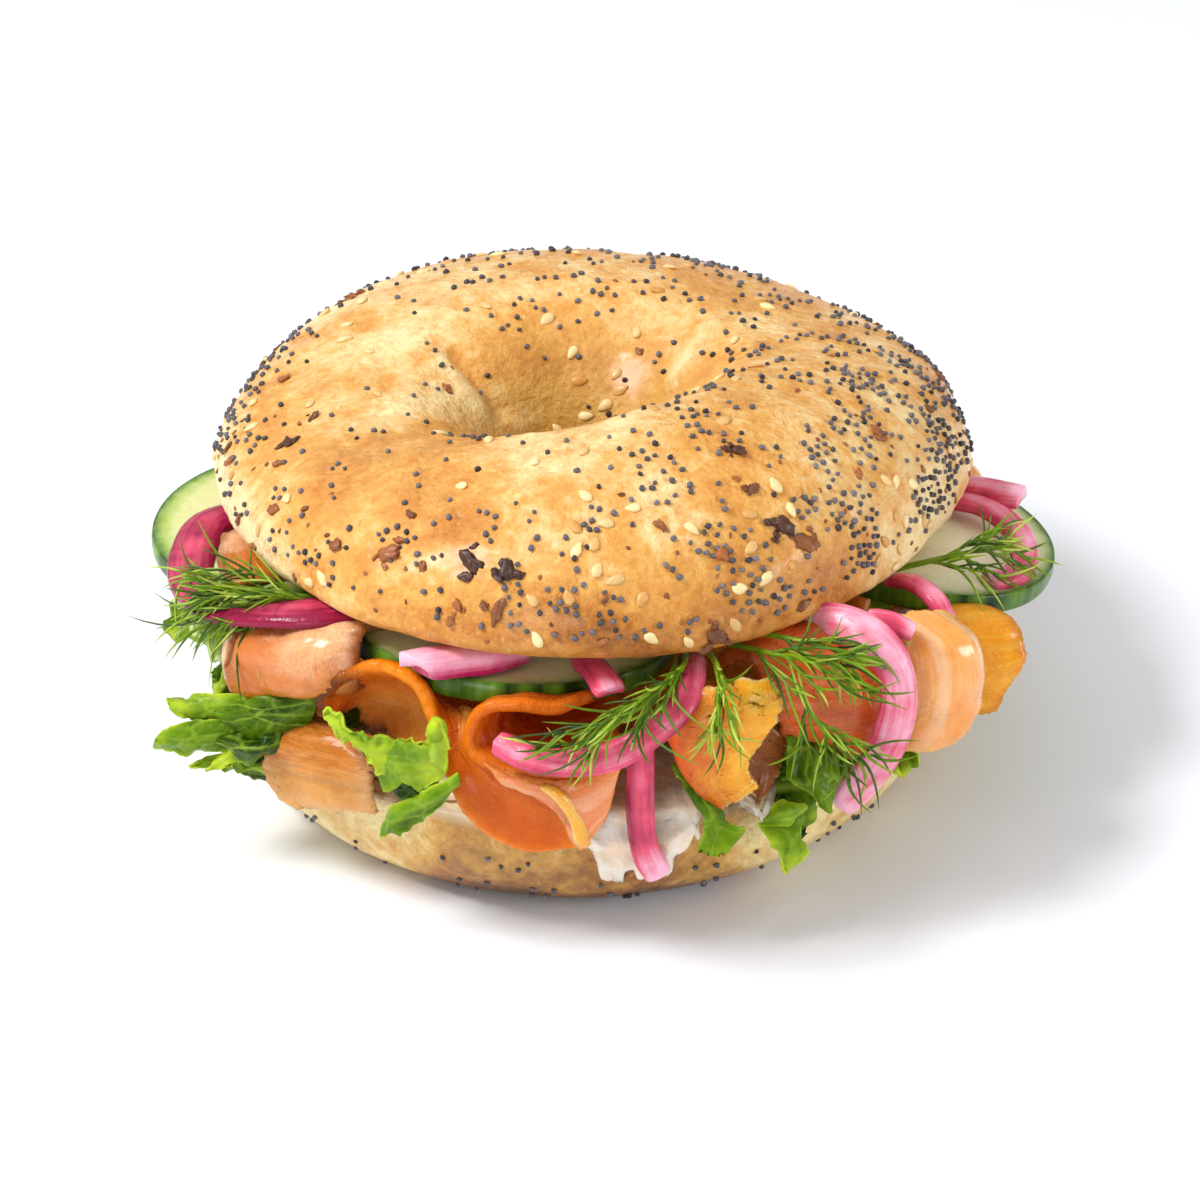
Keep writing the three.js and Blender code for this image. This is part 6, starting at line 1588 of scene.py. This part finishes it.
# Leaves: lobes, how many waves and how deep, how light the tone is, and the rails from root to edge
LETTUCES = {
    "left": {"lobes": LEFT_LOBES, "waves": 7, "tone": 0.3, "rails": [
        [[206, 24, 20.3], [209, 24, 20.3], [212, 24, 20.3], [214, 24, 20.3], [216, 24, 20.3], [218, 24, 20.3],
         [221, 24, 20.3], [226, 24, 20.3]],
        [[209.5, 45, 22.2], [211.5, 45, 22.2], [213, 45, 22], [214.4, 45, 21.8], [216, 45, 21.6],
         [218, 45, 21.2], [220.6, 45, 20.8], [225, 45, 20.4]],
        [[208.4, 54, 26.2], [210.4, 54, 25.8], [212, 54, 24.8], [212.6, 55, 23.2], [214, 55, 21.8],
         [216, 54.6, 20.8], [218.4, 55.4, 19], [223.4, 54.6, 19]],
        [[206, 61, 26.4], [208, 62, 25], [210.4, 62, 23.6], [210, 64, 20.6], [211.4, 65, 18],
         [213.8, 63, 17.8], [213.4, 64.6, 15], [220.5, 61, 16.6]],
    ]},
    "left_behind": {"look": PALE_PAINTED_LIGHT_LEAF, "waves": 2.4, "ruffle": 0.6, "rails": [
        [[190, 38, 29], [196, 38, 28.6], [202, 38, 28.4], [207, 38, 28.4]],
        [[191, 53, 30.4], [197, 53, 29.8], [203, 52, 29.2], [208, 52, 29]],
        [[193.2, 63, 30.2], [198, 62, 29.4], [203.6, 61, 28.8], [209.4, 60.4, 28.4]],
    ]},
    "front_frill": {"lobes": FRILL_LOBES, "waves": 3, "ruffle": 0.3, "tone": 0.1, "rails": [
        [[236, 60, 31], [240, 60, 29], [244, 60.2, 28], [248, 60.8, 29]],
        [[236.4, 60, 30], [240.5, 60, 26.4], [245, 60.2, 25], [248.6, 60.8, 27.5]],
        [[237, 60, 29], [241.2, 59.8, 24.8], [245, 60, 22.4], [249, 60.8, 25.5]],
    ]},
    "front_stalk": {"lobes": STALK_LOBES, "thickness": 0.8, "waves": 1, "ruffle": 0.1,
                    "count": (40, 30), "rails": [
        [[283, 52.6, 25.6], [284, 52.6, 25.6], [285.4, 52.6, 25.4]],
        [[283.2, 54.4, 25.6], [284.2, 54.6, 25.6], [285.4, 54.6, 25.2]],
        [[283.6, 56, 24.8], [284.8, 56.4, 24.6], [285.8, 56.2, 24.4]],
    ]},
    "front_right": {"lobes": RIGHT_LOBES, "waves": 3, "ruffle": 0.3, "tone": 0.15, "rails": [
        [[299, 38, 20.3], [300, 50, 20.4], [299, 54.4, 18.6], [297, 57, 16.4], [298, 58, 13.6]],
        [[303, 38, 20.3], [303.6, 50, 20.5], [303, 55.2, 18], [300.8, 57.6, 14.6], [299.8, 58.4, 11]],
        [[304.6, 38, 20.3], [306, 50, 20.6], [306, 55.4, 17.8], [304, 57.4, 14], [302, 58, 12]],
    ]},
    "right": {"ruffle": 0.8, "rails": [
        [[308, 30, 20.3], [312, 30, 20.3], [317, 30, 20.3], [323, 30, 20.3], [330, 30, 20.3]],
        [[307.4, 50, 20.6], [310, 50, 20.4], [315, 50, 20.4], [322, 50, 20.4], [328, 50, 20.4]],
        [[304, 55.4, 22], [308, 56.8, 20], [313, 58.6, 17.8], [319.4, 61.8, 17.4], [326, 58, 17.8]],
    ]},
}


def knob():
    """The curled end of the frill, a small rounded lobe."""
    points, faces = ball(3)
    bumps = 1 + 0.16 * noise(points, 0.7, 31) + 0.1 * noise(points, 0.35, 32)
    body = points * bumps[:, None] * np.array(KNOB_SIZE) + stations([KNOB])
    # Painted light: its tone lightens toward the top and darkens underneath
    return {"points": body, "faces": faces, "uv": points[:, :2] * 0.02,
            "values": {"rib": np.zeros(len(body)), "tone": 0.62 + 0.3 * points[:, 2]}}


FAN_ROOT = 26
FAN_HEIGHT = 20.4


def fan_rails(first, last, edge, drop, frills, high):
    """Rails of a leaf that fans out from a root radius to a wavy edge."""
    rails = []
    for v in (0, 0.35, 0.7, 0.86, 1.0):
        rail = []
        for u in np.linspace(0, 1, 13):
            reach = edge * (1 - 0.07 * (2 * u - 1) ** 2) + 2.4 * np.sin(2 * np.pi * frills * 0.63 * u + 0.4)
            wave = np.sin(2 * np.pi * frills * u + 1.3)
            height = FAN_HEIGHT - drop * smooth(v, 0.74, 1) + high * v ** 6 * wave
            rail.append([lerp(first, last, u), lerp(FAN_ROOT, reach, v), height])
        rails.append(rail)
    return rails


# Leaves that fan out: first and last azimuth, edge radius, its drop, and its frills
FANS = {
    "side": {"first": 338, "last": 366, "edge": 61, "drop": 2.6, "frills": 3, "high": 1.6, "waves": 7},
    "back_right": {"first": 20, "last": 58, "edge": 62, "drop": 5, "frills": 4, "high": 1.6, "waves": 11},
    "back": {"first": 99, "last": 134, "edge": 62, "drop": 4, "frills": 3.6, "high": 2, "waves": 10},
    "back_left": {"first": 148, "last": 184, "edge": 64, "drop": 4.4, "frills": 4, "high": 1.4, "waves": 11},
}
for place, fan in FANS.items():
    LETTUCES[place] = {"rails": fan_rails(**without(fan, "waves")), "waves": fan["waves"]}

for number, (place, spec) in enumerate(LETTUCES.items()):
    parts = [leaf_sheet(**without(spec, "lobes", "look"), seed=LEAF_SEED + 30 * number)]
    for k, lobe in enumerate(spec.get("lobes", [])):
        parts.append(leaflet(**lobe, seed=LOBE_SEED + 60 * number + 7 * k))
    if place == "front_frill":
        parts.append(knob())
    food("lettuce", place, merged(parts), spec.get("look", LEAF))


# Cream cheese
CREAM_SHAPE = {"top": 19.2, "inner": 17, "edge": 50.4, "overhang": 54.7, "underside": 17.06}
CREAM_TURNS = 720
CREAM_STEPS = (6, 4, 3, 12, 8, 10, 3)
# Where the layer hangs out below the filling: azimuth, depth and spread
DROOPS = [(277.5, 8.2, 7.5), (300, 2.4, 6.0)]


def cream_cheese():
    azimuth = np.arange(CREAM_TURNS) * 360 / CREAM_TURNS
    droop = sum(depth * np.exp(-(((azimuth - middle) / wide) ** 4)) for middle, depth, wide in DROOPS)
    over = smooth(droop, 0.2, 1.6)
    ragged = 0.8 * noise1(azimuth, 6, 91) + 0.5 * noise1(azimuth, 2, 92)
    shape = CREAM_SHAPE
    edge = lerp(shape["edge"] + ragged, shape["overhang"], over)
    spiky = 1.1 * noise1(azimuth, 1.5, 93) + 0.8 * noise1(azimuth, 0.7, 94)
    low = shape["underside"] - droop + over * spiky
    zero = np.zeros_like(azimuth)
    profile = [
        (zero + shape["inner"], zero + shape["underside"]),
        (edge - 0.6, zero + shape["underside"]),
        (edge, low + 0.3),
        (edge + 0.5 + 0.5 * over, low + 0.3 - 0.3 * over),
        (edge + 0.6 + 0.7 * over, lerp(low, shape["top"], 0.55)),
        (edge - 1, zero + shape["top"]),
        (zero + shape["inner"] + 0.5, zero + shape["top"]),
    ]
    rows = []
    for steps, start, end in zip(CREAM_STEPS, profile, profile[1:] + profile[:1]):
        for t in np.arange(steps) / steps:
            rows.append(at(azimuth, lerp(start[0], end[0], t), lerp(start[1], end[1], t)))
    grid = np.stack(rows, 1)
    normals = grid_normals(grid, (True, True))
    rough = 0.35 * fractal(grid, 2.6, 3, 95) + 0.7 * over[:, None] * noise(grid, 1.9, 96)
    grid = grid + normals * rough[..., None]
    return outward(part_of(grid, (True, True), grid[..., :2] / 100))


piece("cream_cheese_look", cream_cheese(), CREAM, ["cream_cheese"])


# Dill
TUBE_SIDES = 5


def tubes(curves, radii, tones):
    """Thin tapering tubes, one along each curve."""
    count, steps = curves.shape[:2]
    tangent = unit(np.gradient(curves, axis=1))
    side = unit(np.cross(tangent, np.array([0.17, 0.56, 0.81])))
    other = np.cross(side, tangent)
    turn = np.arange(TUBE_SIDES) / TUBE_SIDES * 2 * np.pi
    ring = (side[:, :, None] * np.cos(turn)[:, None] + other[:, :, None] * np.sin(turn)[:, None])
    points = curves[:, :, None] + ring * radii[:, :, None, None]
    ids = np.arange(count * steps * TUBE_SIDES).reshape(count, steps, TUBE_SIDES)
    faces = np.concatenate([triangles_of(ids[k], (False, True)) for k in range(count)])
    total = points.reshape(-1, 3)
    tone = np.broadcast_to(tones[:, :, None], ids.shape).ravel()
    return {"points": total, "faces": faces, "uv": total[:, :2] / 100, "values": {"tone": tone}}


def turn_in_plane(direction, normal, degrees):
    angle = np.radians(degrees)
    return direction * np.cos(angle) + np.cross(normal, direction) * np.sin(angle)


# Radii of stem and twigs at their ends, and of a thread with its taper
STEM_THICK = (0.5, 0.22)
TWIG_THICK = (0.3, 0.17)
THREAD_THICK = 0.2
THREAD_TAPER = (1, 1.05, 1, 0.95, 0.85, 0.62, 0.12)
CURVE_STEPS = 7
DROOP = 0.3
DILL_SEED = 900


def bent(base, way, reach, bend):
    """A curve that starts out one way and bends."""
    s = np.linspace(0, 1, CURVE_STEPS)[:, None]
    return base + way * reach * s + bend * s ** 2


def sprig(path, face, seed, branches=7, branch_length=8.0, threads=6, thread_length=6.0, opening=34.0,
          thread_opening=24.0, tone=0.5):
    """A frond of dill: a stem, side branches, and thread leaves along the stem and the branches."""
    rng = np.random.default_rng(seed)
    stem = spline(stations(path), np.linspace(0, 1, 24))
    curves = [spline(stem, np.linspace(0, 1, CURVE_STEPS))]
    radii = [np.linspace(*STEM_THICK, CURVE_STEPS)]
    tones = [np.full(CURVE_STEPS, tone + 0.1)]
    twigs = [(stem, 0.3)]
    for k in range(branches):
        place = lerp(0.25, 0.97, (k + 0.3 * rng.uniform()) / branches)
        base = spline(stem, place)[0]
        ahead = unit(spline(stem, min(place + 0.04, 1))[0] - spline(stem, place - 0.04)[0])
        way = turn_in_plane(ahead, face, (1 if k % 2 else -1) * opening * rng.uniform(0.6, 1.3))
        way = unit(way + face * 0.25 * rng.uniform(-0.6, 1.0))
        reach = branch_length * (1 - 0.45 * place) * rng.uniform(0.75, 1.15)
        twig = bent(base, way, reach, -UP * DROOP * reach * 0.5 + ahead * 0.25 * reach)
        curves.append(twig)
        radii.append(np.linspace(*TWIG_THICK, CURVE_STEPS))
        tones.append(np.full(CURVE_STEPS, tone + rng.uniform(-0.1, 0.15)))
        twigs.append((twig, 0.15))
    for twig, first in twigs:
        for j in range(threads):
            place = lerp(first, 0.99, (j + 0.5 * rng.uniform()) / threads)
            base = spline(twig, place)[0]
            ahead = unit(spline(twig, min(place + 0.06, 1))[0] - spline(twig, max(place - 0.06, 0))[0])
            way = turn_in_plane(ahead, face, (1 if j % 2 else -1) * thread_opening * rng.uniform(0.3, 1.5))
            way = unit(way + face * rng.uniform(-0.35, 0.5))
            reach = thread_length * rng.uniform(0.6, 1.25)
            curl = rng.normal(0, 0.42, 3) - UP * DROOP * 0.6 + ahead * 0.35
            curves.append(bent(base, way, reach, (curl - way * (curl @ way)) * reach))
            radii.append(THREAD_THICK * np.array(THREAD_TAPER) * rng.uniform(0.8, 1.15))
            shade = tone + rng.uniform(-0.40, 0.45)
            tones.append(np.linspace(shade - 0.05, shade + 0.15, CURVE_STEPS))
    return tubes(np.stack(curves), np.stack(radii), np.stack(tones))


# Fronds of each sprig: path of the stem, numbers and lengths of branches and threads, and their angles
DILLS = {
    "left": [
        {"path": [[228, 47, 41.4], [221, 54, 42.6], [215.4, 59.5, 41.8], [210, 63.4, 39]], "branches": 8,
         "branch_length": 9, "threads": 9, "thread_length": 7, "opening": 24, "thread_opening": 16},
        {"path": [[224, 48, 41.6], [218.4, 54.5, 43], [213.5, 59, 43.4], [209.4, 62, 42.2]],
         "threads": 8, "thread_length": 6.5, "opening": 24, "thread_opening": 16},
    ],
    "centre": [
        {"path": [[286.4, 48, 41.4], [283, 57, 44.2], [277, 63.6, 44], [268, 66, 39.6]],
         "branch_length": 9, "thread_length": 6.5, "opening": 24, "thread_opening": 22},
        {"path": [[284.4, 50, 41.4], [280, 59, 43], [273, 64.4, 40.4], [264, 66, 36]], "branches": 5,
         "branch_length": 7, "threads": 5, "opening": 26, "thread_opening": 22},
    ],
    "hanging": [
        {"path": [[289.4, 48, 41.4], [288, 57, 44], [287, 62.4, 42.4], [285.6, 64, 37.5]], "branches": 6,
         "branch_length": 6, "threads": 5, "thread_length": 5.5, "opening": 24, "thread_opening": 20,
         "tone": 0.62},
    ],
    "right": [
        {"path": [[293, 47.5, 41.2], [296, 56, 43.6], [300, 62, 44.2], [303.6, 65, 43.6]], "opening": 30},
        {"path": [[297, 49, 43], [300, 56, 44.6], [304, 61, 44.2], [307, 64, 42]], "branches": 4,
         "branch_length": 6, "thread_length": 5.5, "opening": 28},
    ],
    "low": [
        {"path": [[299, 57.8, 39.8], [300.4, 61, 35], [302.6, 64.4, 30.6], [305.6, 66, 27]], "branches": 6,
         "branch_length": 6, "threads": 5, "thread_length": 5.5, "opening": 44, "thread_opening": 30},
    ],
    "side": [
        {"path": [[336, 47, 37.6], [340, 54, 39.4], [344, 59, 39.6], [348.5, 62.6, 38.4]]},
    ],
    "back": [
        {"path": [[114, 48, 30.6], [110, 56, 29.8], [105, 61, 27.6], [101, 62.5, 23.6]],
         "thread_opening": 26},
    ],
}
for number, (place, fronds) in enumerate(DILLS.items()):
    look_at = TO_BACK if place == "back" else TO_VIEWER
    dill = merged([sprig(**frond, face=look_at, seed=DILL_SEED + 10 * number + k)
                   for k, frond in enumerate(fronds)])
    food("dill", place, dill, DILL)


# Floor, lights and world: places in metres, sizes in metres, power in watts
FLOOR_REACH = 6.0
FLOOR_TINTS = ((0.865, 0.89, 0.935), (0.87, 0.895, 0.94))
LIGHT_AIM = (0, 0, 0.02)
LIGHTS = {
    "key": {"place": (-0.54, -0.16, 0.77), "size": 0.30, "power": 7.2},
    "right": {"place": (0.79, -0.22, 0.19), "size": 0.30, "power": 2.8},
    "front": {"place": (-0.25, -0.85, 0.18), "size": 0.34, "power": 1.7},
}
SKY_BRIGHTEST = (-0.25, 0.20, 0.95)
SKY_LEVELS = (0.14, 0.92)


def make_floor():
    mesh = bpy.data.meshes.new("floor")
    corners = [(x * FLOOR_REACH, y * FLOOR_REACH, 0) for x, y in ((-1, -1), (1, -1), (1, 1), (-1, 1))]
    mesh.from_pydata(corners, [], [(0, 1, 2, 3)])
    floor = bpy.data.objects.new("floor", mesh)
    look = Look("floor", Roughness=0.85, Specular_IOR_Level=0.1)
    look.set(Base_Color=look.mix(look.noise(400, 2), *FLOOR_TINTS))
    mesh.materials.append(look.material)
    scene.collection.objects.link(floor)


def area_light(name, place, size, power):
    data = bpy.data.lights.new(name, "AREA")
    data.shape = "DISK"
    data.size = size
    data.energy = power
    light = bpy.data.objects.new(name, data)
    light.location = place
    light.rotation_euler = (Vector(LIGHT_AIM) - Vector(place)).to_track_quat("-Z", "Y").to_euler()
    scene.collection.objects.link(light)


def make_world():
    world = bpy.data.worlds.new("studio")
    world.use_nodes = True
    tree = world.node_tree
    direction = tree.nodes.new("ShaderNodeTexCoord").outputs["Generated"]
    towards = tree.nodes.new("ShaderNodeVectorMath")
    towards.operation = "DOT_PRODUCT"
    tree.links.new(direction, towards.inputs[0])
    towards.inputs[1].default_value = SKY_BRIGHTEST
    level = tree.nodes.new("ShaderNodeMapRange")
    tree.links.new(towards.outputs["Value"], level.inputs["Value"])
    level.inputs["To Min"].default_value, level.inputs["To Max"].default_value = SKY_LEVELS
    background = tree.nodes["Background"]
    tree.links.new(level.outputs["Result"], background.inputs["Strength"])
    background.inputs["Color"].default_value = (1, 1, 1, 1)
    scene.world = world


make_floor()
for light_name, spec in LIGHTS.items():
    area_light(light_name, **spec)
make_world()
